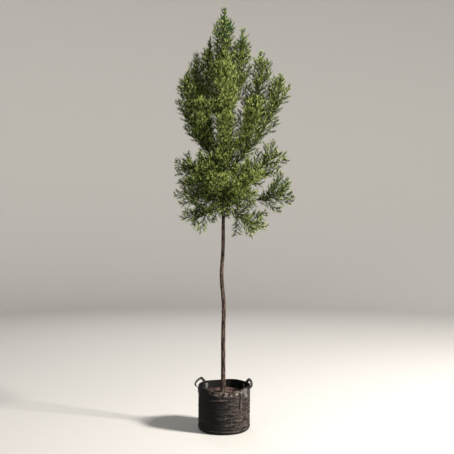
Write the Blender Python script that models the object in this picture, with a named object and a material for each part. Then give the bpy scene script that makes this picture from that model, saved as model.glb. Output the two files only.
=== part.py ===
"""A potted tamarisk, grown as a standard tree: a slim bare trunk under a feathery crown, in a round
fabric pot with two webbing handles. Metres, +Z up. The origin is the middle of the pot's flat
underside, -Y is the front and +X the right of it."""

import math
import random
from typing import NamedTuple

import bmesh
import bpy
from mathutils import Matrix, Vector
from mathutils.bvhtree import BVHTree

UP = Vector((0.0, 0.0, 1.0))
GOLDEN_ANGLE = math.radians(137.508)

# Whole tree
LEADER_TIP = 3.106
GAP = 0.0003
CRACK = 0.00001
SEED = 106

# Fabric pot
POT_RADIUS = 0.190
POT_HEIGHT = 0.322
POT_WALL = 0.004
POT_FLOOR = 0.004
POT_FOOT_ROUND = 0.016
POT_SIDES = 36
POT_FOOT_LEVELS = (0.0, 0.3 * POT_FOOT_ROUND, POT_FOOT_ROUND)
# Each bulge of the wall: its depth, how many go round the pot, and how they turn with height
POT_BULGES = ((0.0018, 3.0, 9.0), (0.0014, 5.0, -14.0))
# Each wave of the rim: its height, how many go round the pot, and where they begin
RIM_WAVES = ((0.0031, 2.0, 0.6), (0.0019, 5.0, 2.0))
FRONT_SAG = 0.022
FRONT_LEAN = 0.014
LEAN_DEPTH = 0.060

# Soil, and the heights at which pot and soil have a ring of points
SOIL_TOP = 0.265
SOIL_CLEAR = 0.0020
POT_SIDE_LEVELS = (0.09, 0.18, SOIL_TOP, 0.294)

# Webbing handles, each a strap sewn flat to the wall at both ends with a free loop between
STRAP_WIDTH = 0.022
STRAP_THICKNESS = 0.0025
STRAP_SEWN_LEVELS = (0.270, 0.294, 0.306)
STRAP_TOP = 0.354
STRAP_BOW = 0.020
STRAP_LEAN_IN = 0.001
STRAP_FACE_UP = math.radians(62.0)
STRAP_CLEAR = 0.0005
STRAP_LOOP_STEPS = 16
# Degrees round the pot of each strap's two ends, at the middle of a flat of the wall
HANDLE_FEET = {"handle_left": (185.0, 135.0), "handle_right": (-25.0, 35.0)}

# Trunk
TRUNK_TOP = 2.45
TRUNK_SIDES = 10
TRUNK_RINGS = 22
TRUNK_BASE_RADIUS = 0.0165
TRUNK_TOP_RADIUS = 0.0060
TRUNK_TAPER = 1.8
ROOT_FLARE = 0.010
ROOT_FLARE_HEIGHT = 0.035
FLARE_RINGS = (0.0, 0.014, 0.034, 0.070)
TRUNK_OFFSET = -0.006
# Each sway is the height of its middle, its half height, and how far it leans in X and Y
TRUNK_SWAYS = ((0.88, 0.12, 0.005, -0.002), (1.13, 0.13, -0.012, 0.005), (1.90, 0.28, 0.004, -0.006))

# Boughs
BOUGH_SIDES = 5
BOUGH_STEP = 0.075
BOUGH_TIP_SHARE = 0.55
COLLAR = 0.45
COLLAR_LENGTH = 0.022
ROOT_SHARE = 0.82
LIMB_POINTS = 240

# Foliage: plumes, each a three-sided core that short sprays stand out of
CORE_SIDES = 3
CORE_TWIST = math.radians(38.0)
STEM_STEP = 0.062
PLUME_STEP = 0.046
CORE_RADIUS = 0.013
CORE_TIP_RADIUS = 0.0025
CORE_FOOT_SHARE = 0.62
CORE_SWELLING = 1.6
SPRAY_ANGLE = math.radians(41.0)
STEM_SPRAY = 0.105
PLUME_SPRAY = 0.095
SPRAY_FOOT_SHARE = 0.60
SPRAY_GROWTH = 1.3
SPRAY_LOSS = 0.66
SPRAY_CLEAR = 0.0015

# Side plumes: where they stand along a stem, and how their length follows from that
FIRST_PLUME = 0.08
PLUME_SPAN = 0.81
FOOT_PLUME_LENGTH = 0.62
MIDDLE_PLUME_GAIN = 1.6
TIP_PLUME_LOSS = 0.35
LENGTH_SPREAD = (0.85, 1.15)
TURN_SPREAD = 0.3
OPENING_SPREAD = 7.0
# Shares of its full length that a plume is tried at, until it has room
PLUME_SHARES = (1.0, 0.8, 0.62)


class Tier(NamedTuple):
    """How the foliage of one storey of the crown grows."""

    plumes: float  # side plumes on each metre of stem
    length: float  # of the side plumes
    opening: float  # degrees between a side plume and the stem, at the stem's foot
    closing: float  # how many of those degrees are lost towards the stem's tip
    lift: float  # how strongly the side plumes turn up


class Limb(NamedTuple):
    """One limb of the crown: a bare bough, if it has one, and beyond it the stem of its foliage."""

    name: str
    tier: Tier
    height: float  # where it leaves the trunk
    heading: float  # degrees round the trunk: 0 right, 90 back, -90 front
    reach: float  # of its tip, out from the trunk's axis
    tip: float  # height of its tip
    leaving: float  # degrees above level at the trunk
    arriving: float  # degrees above level at the tip
    bare: float  # share of its length before the foliage
    girth: float  # diameter at the trunk


LEADER = Tier(10.0, 0.22, 36.0, 8.0, 0.8)
UPPER = Tier(10.0, 0.20, 38.0, 8.0, 0.8)
LOWER = Tier(21.0, 0.18, 60.0, 18.0, 0.30)

LIMBS = (
    Limb("leader", LEADER, TRUNK_TOP, 90, 0.004, LEADER_TIP, 90, 90, 0.0, 0.010),
    Limb("leader_right", LEADER, 2.28, 10, 0.140, 2.960, 58, 90, 0.0, 0.010),
    Limb("leader_left", LEADER, 2.22, 176, 0.105, 2.880, 62, 92, 0.0, 0.010),
    Limb("leader_front", LEADER, 2.12, -82, 0.110, 2.760, 54, 92, 0.0, 0.010),
    Limb("leader_back", LEADER, 2.16, 98, 0.120, 2.840, 54, 92, 0.0, 0.010),
    Limb("upper_left", UPPER, 1.98, 172, 0.205, 2.780, 44, 92, 0.12, 0.015),
    Limb("upper_left_outer", UPPER, 1.88, 186, 0.260, 2.640, 40, 100, 0.20, 0.015),
    Limb("upper_left_front", UPPER, 1.86, 222, 0.220, 2.420, 36, 94, 0.16, 0.012),
    Limb("upper_left_back", UPPER, 1.94, 134, 0.250, 2.560, 40, 92, 0.18, 0.013),
    Limb("upper_right", UPPER, 1.97, 5, 0.275, 2.790, 42, 94, 0.20, 0.016),
    Limb("upper_right_outer", UPPER, 1.88, -3, 0.425, 2.610, 36, 84, 0.30, 0.016),
    Limb("upper_right_front", UPPER, 1.84, -36, 0.290, 2.420, 34, 88, 0.20, 0.013),
    Limb("upper_right_back", UPPER, 1.92, 44, 0.300, 2.520, 38, 90, 0.20, 0.013),
    Limb("upper_front", UPPER, 1.89, -84, 0.220, 2.300, 34, 90, 0.0, 0.012),
    Limb("upper_back", UPPER, 1.88, 90, 0.240, 2.460, 38, 90, 0.10, 0.013),
    Limb("lower_left_upper", LOWER, 1.77, 170, 0.310, 1.950, 14, 44, 0.0, 0.011),
    Limb("lower_left", LOWER, 1.68, 184, 0.290, 1.750, 4, 24, 0.10, 0.011),
    Limb("lower_left_hanging", LOWER, 1.62, 204, 0.250, 1.540, 0, -40, 0.0, 0.009),
    Limb("lower_right_upper", LOWER, 1.79, 6, 0.400, 2.045, 16, 52, 0.16, 0.012),
    Limb("lower_right_far", LOWER, 1.73, -5, 0.450, 1.765, -26, 44, 0.48, 0.012),
    Limb("lower_right_hanging", LOWER, 1.67, -14, 0.255, 1.485, -40, -32, 0.20, 0.009),
    Limb("lower_front_left", LOWER, 1.75, 234, 0.300, 1.910, 10, 50, 0.0, 0.011),
    Limb("lower_front_right", LOWER, 1.71, -48, 0.310, 1.870, 8, 46, 0.0, 0.011),
    Limb("lower_front_upper", LOWER, 1.80, -112, 0.240, 1.990, 26, 66, 0.0, 0.010),
    Limb("lower_front", LOWER, 1.69, -86, 0.300, 1.780, 6, 34, 0.0, 0.010),
    Limb("lower_back_left", LOWER, 1.75, 128, 0.320, 1.930, 10, 50, 0.0, 0.011),
    Limb("lower_back_right", LOWER, 1.70, 52, 0.330, 1.910, 10, 48, 0.0, 0.011),
    Limb("lower_back", LOWER, 1.66, 90, 0.320, 1.740, 4, 30, 0.0, 0.010),
)

BLACK_FABRIC = ("black_fabric", (0.016, 0.015, 0.016), 0.92)
BLACK_WEBBING = ("black_webbing", (0.012, 0.011, 0.012), 0.75)
DARK_SOIL = ("dark_soil", (0.030, 0.021, 0.014), 0.95)
BROWN_BARK = ("brown_bark", (0.085, 0.055, 0.040), 0.90)
GREEN_FOLIAGE = ("green_foliage", (0.105, 0.170, 0.050), 0.70)


def clear_scene():
    """Takes out whatever the scene starts with."""
    for obj in list(bpy.data.objects):
        bpy.data.objects.remove(obj, do_unlink=True)


def material(finish):
    """A Principled material of this name, base colour and roughness, made once."""
    name, colour, roughness = finish
    made = bpy.data.materials.get(name)
    if made is None:
        made = bpy.data.materials.new(name)
        made.use_nodes = True
        shader = made.node_tree.nodes["Principled BSDF"]
        shader.inputs["Base Color"].default_value = (*colour, 1.0)
        shader.inputs["Roughness"].default_value = roughness
        shader.inputs["Metallic"].default_value = 0.0
    return made


def add_object(name, shape, finish, collection=None):
    """An object from (points, faces), in the scene or in the given collection."""
    points, faces = shape
    mesh = bpy.data.meshes.new(name)
    mesh.from_pydata(points, [], faces)
    mesh.validate()
    mesh.materials.append(material(finish))
    obj = bpy.data.objects.new(name, mesh)
    (collection or bpy.context.scene.collection).objects.link(obj)
    return obj


def applied(obj):
    """Replaces the object's mesh by the one its modifiers make."""
    bpy.context.view_layer.update()
    graph = bpy.context.evaluated_depsgraph_get()
    mesh = bpy.data.meshes.new_from_object(obj.evaluated_get(graph))
    obj.modifiers.clear()
    obj.data = mesh


def keep_one_body(obj):
    """Keeps the largest connected shell: fills any hollow that a union sealed and drops loose scraps."""
    shape = bmesh.new()
    shape.from_mesh(obj.data)
    bmesh.ops.remove_doubles(shape, verts=shape.verts, dist=CRACK)
    waiting = set(shape.faces)
    shells = []
    while waiting:
        stack = [waiting.pop()]
        shell = []
        while stack:
            face = stack.pop()
            shell.append(face)
            for edge in face.edges:
                for other in edge.link_faces if len(edge.link_faces) == 2 else ():
                    if other in waiting:
                        waiting.remove(other)
                        stack.append(other)
        shells.append(shell)
    shells.sort(key=len)
    for shell in shells[:-1]:
        bmesh.ops.delete(shape, geom=shell, context="FACES")
    shape.to_mesh(obj.data)
    shape.free()


def rings_to_faces(ring_count, sides):
    """Quads between rings of points that turn counterclockwise seen from ahead, and both caps."""
    faces = []
    for ring in range(ring_count - 1):
        for side in range(sides):
            near = ring * sides
            far = near + sides
            after = (side + 1) % sides
            faces.append((near + side, near + after, far + after, far + side))
    last = (ring_count - 1) * sides
    faces.append(tuple(range(sides - 1, -1, -1)))
    faces.append(tuple(range(last, last + sides)))
    return faces


def tangents(path, ends=None):
    """Unit directions along a list of points, with the first and last given if they are known."""
    found = []
    for index in range(len(path)):
        before = path[max(index - 1, 0)]
        after = path[min(index + 1, len(path) - 1)]
        found.append((after - before).normalized())
    if ends:
        found[0], found[-1] = ends
    return found


def frames(path, twist=0.0, ends=None):
    """(tangent, normal, binormal) at each point, carried along without spin but for the twist."""
    along = tangents(path, ends)
    guess = Vector((0.0, 1.0, 0.0)) if abs(along[0].z) > 0.9 else UP
    normal = (guess - along[0] * guess.dot(along[0])).normalized()
    found = []
    for index, tangent in enumerate(along):
        normal = (normal - tangent * normal.dot(tangent)).normalized()
        turned = Matrix.Rotation(twist * index, 3, tangent) @ normal
        found.append((tangent, turned, tangent.cross(turned)))
    return found


def tube(path, radii, sides, ends=None):
    """(points, faces) of a closed tapering tube with flat ends."""
    points = []
    for centre, radius, (_, normal, binormal) in zip(path, radii, frames(path, ends=ends)):
        for side in range(sides):
            turn = 2.0 * math.pi * side / sides
            points.append(centre + (normal * math.cos(turn) + binormal * math.sin(turn)) * radius)
    return points, rings_to_faces(len(path), sides)


def direction_of(heading, rise):
    """Unit vector at these degrees round the trunk and above level."""
    turn = math.radians(heading)
    tilt = math.radians(rise)
    return Vector((math.cos(turn) * math.cos(tilt), math.sin(turn) * math.cos(tilt), math.sin(tilt)))


def trunk_centre(height):
    """The trunk's axis: upright, with a few soft sways."""
    sway_x = TRUNK_OFFSET
    sway_y = 0.0
    for middle, half, lean_x, lean_y in TRUNK_SWAYS:
        share = math.exp(-(((height - middle) / half) ** 2))
        sway_x += lean_x * share
        sway_y += lean_y * share
    return Vector((sway_x, sway_y, height))


def trunk_radius(height):
    """Half the trunk's thickness, with its root flare."""
    share = (height - SOIL_TOP) / (TRUNK_TOP - SOIL_TOP)
    taper = TRUNK_TOP_RADIUS + (TRUNK_BASE_RADIUS - TRUNK_TOP_RADIUS) * (1.0 - share**TRUNK_TAPER)
    return taper + ROOT_FLARE * math.exp(-(height - SOIL_TOP) / ROOT_FLARE_HEIGHT)


def trunk_heights():
    """Ring heights from the soil to the top, closer together in the root flare."""
    foot = SOIL_TOP + GAP
    flare = [foot + rise for rise in FLARE_RINGS]
    rest = TRUNK_RINGS - len(flare)
    span = TRUNK_TOP - flare[-1]
    return flare + [flare[-1] + span * (index + 1) / rest for index in range(rest)]


def trunk_shape(grown=0.0):
    """The trunk's points and faces, thickened by the given amount."""
    heights = trunk_heights()
    path = [trunk_centre(height) for height in heights]
    radii = [trunk_radius(height) + grown for height in heights]
    return tube(path, radii, TRUNK_SIDES)


def limb_line(limb):
    """Close points along a limb's axis, with the distance walked to each: a Hermite curve to its tip."""
    start = trunk_centre(min(limb.height, TRUNK_TOP))
    turn = math.radians(limb.heading)
    end = Vector((limb.reach * math.cos(turn), limb.reach * math.sin(turn), limb.tip))
    chord = (end - start).length
    leave = direction_of(limb.heading, limb.leaving) * chord
    arrive = direction_of(limb.heading, limb.arriving) * chord
    line = []
    walked = 0.0
    for number in range(LIMB_POINTS + 1):
        t = number / LIMB_POINTS
        place = start * (2 * t**3 - 3 * t**2 + 1) + end * (3 * t**2 - 2 * t**3)
        place = place + leave * (t**3 - 2 * t**2 + t) + arrive * (t**3 - t**2)
        if line:
            walked += (place - line[-1][1]).length
        line.append((walked, place))
    return line


def limb_path(limb, near, far, step):
    """Points along a limb's axis between two shares of its length, about a step apart."""
    line = limb_line(limb)
    length = line[-1][0]
    count = max(1, round((far - near) * length / step))
    points = []
    index = 0
    for number in range(count + 1):
        distance = length * (near + (far - near) * number / count)
        while index < LIMB_POINTS - 1 and line[index + 1][0] < distance:
            index += 1
        before, after = line[index], line[index + 1]
        points.append(before[1].lerp(after[1], (distance - before[0]) / (after[0] - before[0])))
    return points


def limb_ends(limb, near, far):
    """Directions of a limb's axis at two shares of its length."""
    line = limb_line(limb)
    found = []
    for share in (near, far):
        distance = share * line[-1][0]
        index = min(range(1, LIMB_POINTS), key=lambda spot: abs(line[spot][0] - distance))
        found.append((line[index + 1][1] - line[index - 1][1]).normalized())
    return found


def bough_shape(limb):
    """The bare bough, from the trunk's axis to where the foliage begins, with a collar at its root."""
    path = limb_path(limb, 0.0, limb.bare, BOUGH_STEP)
    length = sum((after - before).length for before, after in zip(path, path[1:]))
    radii = []
    for index in range(len(path)):
        walked = length * index / (len(path) - 1)
        taper = 1.0 - (1.0 - BOUGH_TIP_SHARE) * walked / length
        collar = 1.0 + COLLAR * math.exp(-walked / COLLAR_LENGTH)
        radii.append(limb.girth / 2.0 * taper * collar)
    radii[0] = min(radii[0], ROOT_SHARE * trunk_radius(limb.height))
    return tube(path, radii, BOUGH_SIDES, limb_ends(limb, 0.0, limb.bare))


class Grower:
    """Builds plumes whose sprays keep clear of the limbs and of every other mass."""

    def __init__(self):
        self.blocks = []

    def block(self, owner, shape):
        """Takes up the space of a finished shape for its owner."""
        points, faces = shape
        middle = sum(points, Vector()) / len(points)
        reach = max((point - middle).length for point in points)
        self.blocks.append((owner, middle, reach, BVHTree.FromPolygons(points, faces)))

    def is_free(self, owner, shape):
        """Whether a closed shape meets nothing that belongs to another owner."""
        points, faces = shape
        middle = sum(points, Vector()) / len(points)
        reach = max((point - middle).length for point in points)
        tree = None
        for other, centre, radius, taken in self.blocks:
            if other == owner or (centre - middle).length > radius + reach:
                continue
            tree = tree or BVHTree.FromPolygons(points, faces)
            if tree.overlap(taken):
                return False
        return True

    def plume(self, owner, path, spray, rng, first_bare, foot=CORE_RADIUS, ends=None):
        """(points, faces) of a plume along a path, or None where its core has no room."""
        axes = frames(path, CORE_TWIST, ends)
        if first_bare and not self.is_free(owner, core_shape(path, axes, foot, SPRAY_CLEAR)):
            return None
        points, faces = core_shape(path, axes, foot, 0.0)
        kept = [face for face in faces if len(face) == 3]
        quads = [face for face in faces if len(face) == 4]
        for number, quad in enumerate(quads):
            ring = number // CORE_SIDES
            share = (ring + 0.5) / (len(path) - 1)
            reach = spray * rng.uniform(*LENGTH_SPREAD) * spray_envelope(share)
            corners = [points[corner] for corner in quad]
            middle = sum(corners, Vector()) / 4.0
            outward = (middle - path[ring].lerp(path[ring + 1], 0.5)).normalized()
            leaning = outward * math.sin(SPRAY_ANGLE) + axes[ring][0] * math.cos(SPRAY_ANGLE)
            apex = middle + leaning * reach
            if ring < first_bare or not self.is_free(owner, spike_probe(corners, middle, apex)):
                kept.append(quad)
                continue
            points.append(apex)
            kept += [(quad[k], quad[(k + 1) % 4], len(points) - 1) for k in range(4)]
        return points, kept


def core_shape(path, axes, foot, wider):
    """(points, faces) of a plume's three-sided core: slim at the foot, fuller, then drawn to a point."""
    points = []
    last = len(path) - 1
    for index, (centre, (_, normal, binormal)) in enumerate(zip(path[:-1], axes)):
        share = index / last
        swell = min(1.0, CORE_FOOT_SHARE + CORE_SWELLING * share) * math.sqrt(1.0 - share)
        radius = CORE_TIP_RADIUS + (CORE_RADIUS - CORE_TIP_RADIUS) * swell
        if index == 0:
            radius = min(radius, foot)
        radius += wider
        for side in range(CORE_SIDES):
            turn = 2.0 * math.pi * side / CORE_SIDES
            points.append(centre + (normal * math.cos(turn) + binormal * math.sin(turn)) * radius)
    faces = rings_to_faces(last, CORE_SIDES)
    top = faces.pop()
    points.append(path[-1] + axes[-1][0] * wider)
    faces += [(top[side], top[(side + 1) % CORE_SIDES], len(points) - 1) for side in range(CORE_SIDES)]
    return points, faces


def spike_probe(corners, middle, apex):
    """A slightly larger spike, to test whether a spray has room with some air round it."""
    points = [corner + (corner - middle).normalized() * SPRAY_CLEAR for corner in corners]
    points.append(apex + (apex - middle).normalized() * SPRAY_CLEAR)
    return points, [(0, 1, 4), (1, 2, 4), (2, 3, 4), (3, 0, 4), (3, 2, 1, 0)]


def spray_envelope(share):
    """How long a spray is at this share of its plume: longest low down, shorter at the foot and the tip."""
    return min(1.0, SPRAY_FOOT_SHARE + SPRAY_GROWTH * share) * (1.0 - SPRAY_LOSS * share)


def stem_path(limb):
    """The stem inside the foliage, from the end of the bough, or from the trunk's axis, to the tip."""
    gap = GAP / limb_line(limb)[-1][0]
    near = limb.bare + gap if limb.bare or limb.height >= TRUNK_TOP else 0.0
    return limb_path(limb, near, 1.0, STEM_STEP)


def plume_count(limb):
    """Side plumes on a limb's stem, by its length."""
    return round(limb.tier.plumes * limb_line(limb)[-1][0] * (1.0 - limb.bare))


def plume_path(limb, stem, number, rng, share):
    """One side plume's axis: it leaves the stem at the golden angle and turns towards the light."""
    place = FIRST_PLUME + PLUME_SPAN * (number + rng.uniform(0.2, 0.8)) / plume_count(limb)
    position = place * (len(stem) - 1)
    index = min(int(position), len(stem) - 2)
    root = stem[index].lerp(stem[index + 1], position - index)
    tangent, normal, binormal = frames(stem)[index]
    turn = number * GOLDEN_ANGLE + math.radians(limb.heading) + rng.uniform(-TURN_SPREAD, TURN_SPREAD)
    spread = rng.uniform(-OPENING_SPREAD, OPENING_SPREAD)
    opening = math.radians(limb.tier.opening - limb.tier.closing * place + spread)
    outward = normal * math.cos(turn) + binormal * math.sin(turn)
    heading = tangent * math.cos(opening) + outward * math.sin(opening)
    hump = FOOT_PLUME_LENGTH + MIDDLE_PLUME_GAIN * place * (1.0 - place) - TIP_PLUME_LOSS * place * place
    length = limb.tier.length * rng.uniform(*LENGTH_SPREAD) * hump * share
    count = max(3, round(length / PLUME_STEP))
    path = [root]
    for _ in range(count):
        heading = (heading + UP * (limb.tier.lift / count)).normalized()
        path.append(path[-1] + heading * (length / count))
    return path


def join(mass, shapes):
    """Fuses side plumes to their stem, by one Boolean union on a collection."""
    parts = bpy.data.collections.new("plumes")
    bpy.context.scene.collection.children.link(parts)
    for number, shape in enumerate(shapes):
        add_object(f"plume_{number}", shape, GREEN_FOLIAGE, parts)
    union = mass.modifiers.new("union", "BOOLEAN")
    union.operation = "UNION"
    union.operand_type = "COLLECTION"
    union.collection = parts
    union.solver = "EXACT"
    applied(mass)
    keep_one_body(mass)
    for obj in list(parts.objects):
        bpy.data.objects.remove(obj, do_unlink=True)
    bpy.data.collections.remove(parts)


def add_crown(grower, space):
    """Every foliage mass. Stems come first, then a plume for each in turn, so that they share space."""
    stems = {}
    shapes = {}
    draws = {}
    for seed, limb in enumerate(LIMBS):
        draws[limb.name] = random.Random(SEED + seed)
        stems[limb.name] = stem_path(limb)
        ends = limb_ends(limb, limb.bare, 1.0)
        draw = draws[limb.name]
        shape = grower.plume(limb.name, stems[limb.name], STEM_SPRAY, draw, 0, limb.girth / 2.0, ends)
        grower.block(limb.name, shape)
        shapes[limb.name] = [shape]
    most = max(plume_count(limb) for limb in LIMBS)
    for number in range(most):
        for limb in LIMBS:
            if number >= plume_count(limb):
                continue
            rng = draws[limb.name]
            state = rng.getstate()
            for share in PLUME_SHARES:
                rng.setstate(state)
                path = plume_path(limb, stems[limb.name], number, rng, share)
                shape = grower.plume(limb.name, path, PLUME_SPRAY, rng, 1)
                if shape is not None:
                    grower.block(limb.name, shape)
                    shapes[limb.name].append(shape)
                    break
    for limb in LIMBS:
        mass = add_object(f"foliage_{limb.name}", shapes[limb.name][0], GREEN_FOLIAGE)
        if not limb.bare and limb.height < TRUNK_TOP:
            cut_back(mass, space)
        join(mass, shapes[limb.name][1:])


def add_trunk(grower):
    """The trunk, and the slightly thicker space round it that boughs and stems are cut back from."""
    shape = trunk_shape()
    add_object("trunk", shape, BROWN_BARK)
    grower.block("trunk", shape)
    space = add_object("trunk_space", trunk_shape(GAP), BROWN_BARK)
    space.hide_render = True
    space.display_type = "WIRE"
    return space


def cut_back(obj, space):
    """Takes the trunk's space out of an object whose root lies inside the trunk."""
    cut = obj.modifiers.new("cut", "BOOLEAN")
    cut.operation = "DIFFERENCE"
    cut.object = space
    cut.solver = "EXACT"
    applied(obj)


def add_boughs(grower, space):
    """Every bough that is bare before its foliage begins."""
    for limb in LIMBS:
        if limb.bare:
            name = f"bough_{limb.name}"
            shape = bough_shape(limb)
            cut_back(add_object(name, shape, BROWN_BARK), space)
            grower.block(name, shape)


def front_share(angle):
    """1 at the pot's front, fading to 0 at its sides and back."""
    return max(0.0, -math.sin(angle)) ** 2


def pot_outside(angle, height):
    """Radius of the pot's outer face: softly bulging, and leaning in at the front of the rim."""
    bulge = sum(depth * math.sin(count * angle + turn * height) for depth, count, turn in POT_BULGES)
    lean = FRONT_LEAN * front_share(angle) * max(0.0, 1.0 - (POT_HEIGHT - height) / LEAN_DEPTH)
    foot = min(1.0, height / POT_FOOT_ROUND)
    rounding = POT_FOOT_ROUND * (1.0 - math.sqrt(1.0 - (1.0 - foot) ** 2))
    return POT_RADIUS + bulge * foot - lean - rounding


def rim_height(angle):
    """Height of the pot's rim, which waves a little and sags at the front."""
    wave = sum(height * math.sin(count * angle + start) for height, count, start in RIM_WAVES)
    return POT_HEIGHT + wave - FRONT_SAG * front_share(angle) ** 2


def side_angles():
    """The angle of each of the pot's upright edges."""
    return [2.0 * math.pi * side / POT_SIDES for side in range(POT_SIDES)]


def pot_ring(inset, level=None):
    """A ring of points at a level, or along the rim if none is given, moved in from the outer face."""
    ring = []
    for angle in side_angles():
        height = rim_height(angle) if level is None else level
        radius = pot_outside(angle, height) - inset
        ring.append(Vector((radius * math.cos(angle), radius * math.sin(angle), height)))
    return ring


def floor_ring(inset, height):
    """The ring where an inner wall's rounded foot meets the floor, at the given height."""
    return [Vector((point.x, point.y, height)) for point in pot_ring(inset + POT_FOOT_ROUND, POT_FOOT_ROUND)]


def pot_shape():
    """A cup of fabric: flat underside, rounded foot, wavy rim, and an inner wall down to its floor."""
    rings = [pot_ring(0.0, level) for level in (*POT_FOOT_LEVELS, *POT_SIDE_LEVELS)]
    rings += [pot_ring(0.0), pot_ring(POT_WALL)]
    inner_levels = (POT_FOOT_ROUND, *POT_SIDE_LEVELS[1:])
    rings += [pot_ring(POT_WALL, level) for level in reversed(inner_levels)]
    rings.append(floor_ring(POT_WALL, POT_FLOOR))
    points = [point for ring in rings for point in ring]
    return points, rings_to_faces(len(rings), POT_SIDES)


def soil_shape():
    """The plug of soil that fills the pot to just below its rim, with the rings of the pot's inner wall."""
    inset = POT_WALL + SOIL_CLEAR
    levels = [level for level in (POT_FOOT_ROUND, *POT_SIDE_LEVELS) if level <= SOIL_TOP]
    rings = [floor_ring(inset, POT_FLOOR + GAP)]
    rings += [pot_ring(inset, level) for level in levels]
    points = [point for ring in rings for point in ring]
    return points, rings_to_faces(len(rings), POT_SIDES)


def wall_flat(angle, height):
    """Middle of the flat of the pot's wall that this angle falls on, and the way that it faces."""
    step = 2.0 * math.pi / POT_SIDES
    first = math.floor(angle / step) * step
    edges = []
    for edge in (first, first + step):
        edges.append(direction_of(math.degrees(edge), 0.0) * pot_outside(edge, height) + UP * height)
    return (edges[0] + edges[1]) / 2.0, (edges[1] - edges[0]).normalized().cross(UP)


def sewn_end(degrees):
    """The strap's centre points where it is sewn to the wall, from below up, each with the way it faces."""
    end = []
    for height in STRAP_SEWN_LEVELS:
        middle, facing = wall_flat(math.radians(degrees), height)
        end.append((middle + facing * (STRAP_CLEAR + STRAP_THICKNESS / 2.0), facing))
    return end


def strap_loop(feet):
    """Centre points of the free loop: it bows out from the wall, and leans in and turns up at its top."""
    sewn_to = STRAP_SEWN_LEVELS[-1]
    loop = []
    for step in range(1, STRAP_LOOP_STEPS):
        turn = math.pi * step / STRAP_LOOP_STEPS
        arch = math.sin(turn)
        degrees = feet[0] + (feet[1] - feet[0]) * (1.0 - math.cos(turn)) / 2.0
        height = sewn_to + (STRAP_TOP - sewn_to) * arch
        radius = pot_outside(math.radians(degrees), min(height, POT_HEIGHT)) + STRAP_CLEAR
        radius += STRAP_BOW * math.sin(math.pi * arch) - STRAP_LEAN_IN * arch
        radial = direction_of(degrees, 0.0)
        tilt = STRAP_FACE_UP * arch**2
        loop.append((radial * radius + UP * height, radial * math.cos(tilt) + UP * math.sin(tilt)))
    return loop


def handle_shape(feet):
    """A flat strap swept from one sewn end over its loop to the other."""
    line = sewn_end(feet[0]) + strap_loop(feet) + sewn_end(feet[1])[::-1]
    path = [place for place, _ in line]
    points = []
    for (place, facing), tangent in zip(line, tangents(path, (UP, -UP))):
        across = facing.cross(tangent).normalized()
        wide = across * (STRAP_WIDTH / 2.0)
        deep = tangent.cross(across).normalized() * (STRAP_THICKNESS / 2.0)
        points += [place - wide - deep, place + wide - deep, place + wide + deep, place - wide + deep]
    return points, rings_to_faces(len(path), 4)


def main():
    """Builds the pot with its soil and handles, then the tree from the trunk out."""
    clear_scene()
    add_object("pot", pot_shape(), BLACK_FABRIC)
    add_object("soil", soil_shape(), DARK_SOIL)
    for name, feet in HANDLE_FEET.items():
        add_object(name, handle_shape(feet), BLACK_WEBBING)
    grower = Grower()
    space = add_trunk(grower)
    add_boughs(grower, space)
    add_crown(grower, space)
    bpy.data.objects.remove(space, do_unlink=True)


main()
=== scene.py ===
"""The looks of a potted tamarisk grown as a standard tree, in a round fabric pot with webbing handles.

Metres, +Z up. The origin is the middle of the pot's flat underside, -Y is the front and +X the right of it.
Every shape is a surface worked out with numpy as whole arrays: a grid of two parameters, or a profile
carried along a path. The crown grows from the limbs by one rule: a limb's axis is a curve from the trunk to
its tip, side plumes leave it at the golden angle, side twigs leave limbs and plumes, shoots leave stems and
side twigs, and needles line shoots and side twigs.
"""

import logging
import math
from dataclasses import dataclass
from enum import Enum

import bpy
import numpy as np
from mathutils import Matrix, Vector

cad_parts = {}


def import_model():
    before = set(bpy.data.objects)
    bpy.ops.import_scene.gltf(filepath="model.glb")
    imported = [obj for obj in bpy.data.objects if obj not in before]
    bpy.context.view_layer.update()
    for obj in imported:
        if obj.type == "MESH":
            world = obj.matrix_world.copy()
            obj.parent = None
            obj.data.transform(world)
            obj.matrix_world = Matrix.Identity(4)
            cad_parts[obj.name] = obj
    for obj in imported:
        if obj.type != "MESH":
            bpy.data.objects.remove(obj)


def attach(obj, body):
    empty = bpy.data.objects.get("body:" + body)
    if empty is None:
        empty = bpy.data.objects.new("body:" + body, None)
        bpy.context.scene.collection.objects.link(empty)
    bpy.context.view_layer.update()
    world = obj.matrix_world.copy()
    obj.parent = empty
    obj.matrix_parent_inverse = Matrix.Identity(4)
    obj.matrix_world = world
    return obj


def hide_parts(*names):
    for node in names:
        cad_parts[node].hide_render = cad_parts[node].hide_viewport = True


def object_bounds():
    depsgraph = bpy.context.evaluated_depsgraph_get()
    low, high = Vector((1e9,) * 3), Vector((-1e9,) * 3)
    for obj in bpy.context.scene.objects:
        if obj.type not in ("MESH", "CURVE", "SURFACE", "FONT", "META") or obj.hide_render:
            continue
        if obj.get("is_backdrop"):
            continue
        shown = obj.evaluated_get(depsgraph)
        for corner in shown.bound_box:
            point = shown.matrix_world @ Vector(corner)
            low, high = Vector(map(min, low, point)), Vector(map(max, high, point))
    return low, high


LOG = logging.getLogger("tamarisk")
BODY = "root"
GOLDEN_ANGLE = math.radians(137.508)
ANY_TURN = (0.0, 6.3)
NUDGE = 1e-4
CURVE_POINTS = 241
MEAN_RELIEF = 0.6
BROAD_OCTAVES = 3.0
FINE_OCTAVES = 5.0
OCTAVE_SHARE = 0.6
MOST_TRIANGLES = 180_000
SENSOR_WIDTH = 36.0
UP = np.array((0.0, 0.0, 1.0))
TREE_MIDDLE = np.array((0.0, 0.0, 1.7))
UV_LAYER = "strap"
RELIEF = "relief"

Array = np.ndarray
Colour = tuple[float, float, float]
Pair = tuple[float, float]
Four = tuple[float, float, float, float]
Socket = bpy.types.NodeSocket
Tree = bpy.types.NodeTree


# Finishes


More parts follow.
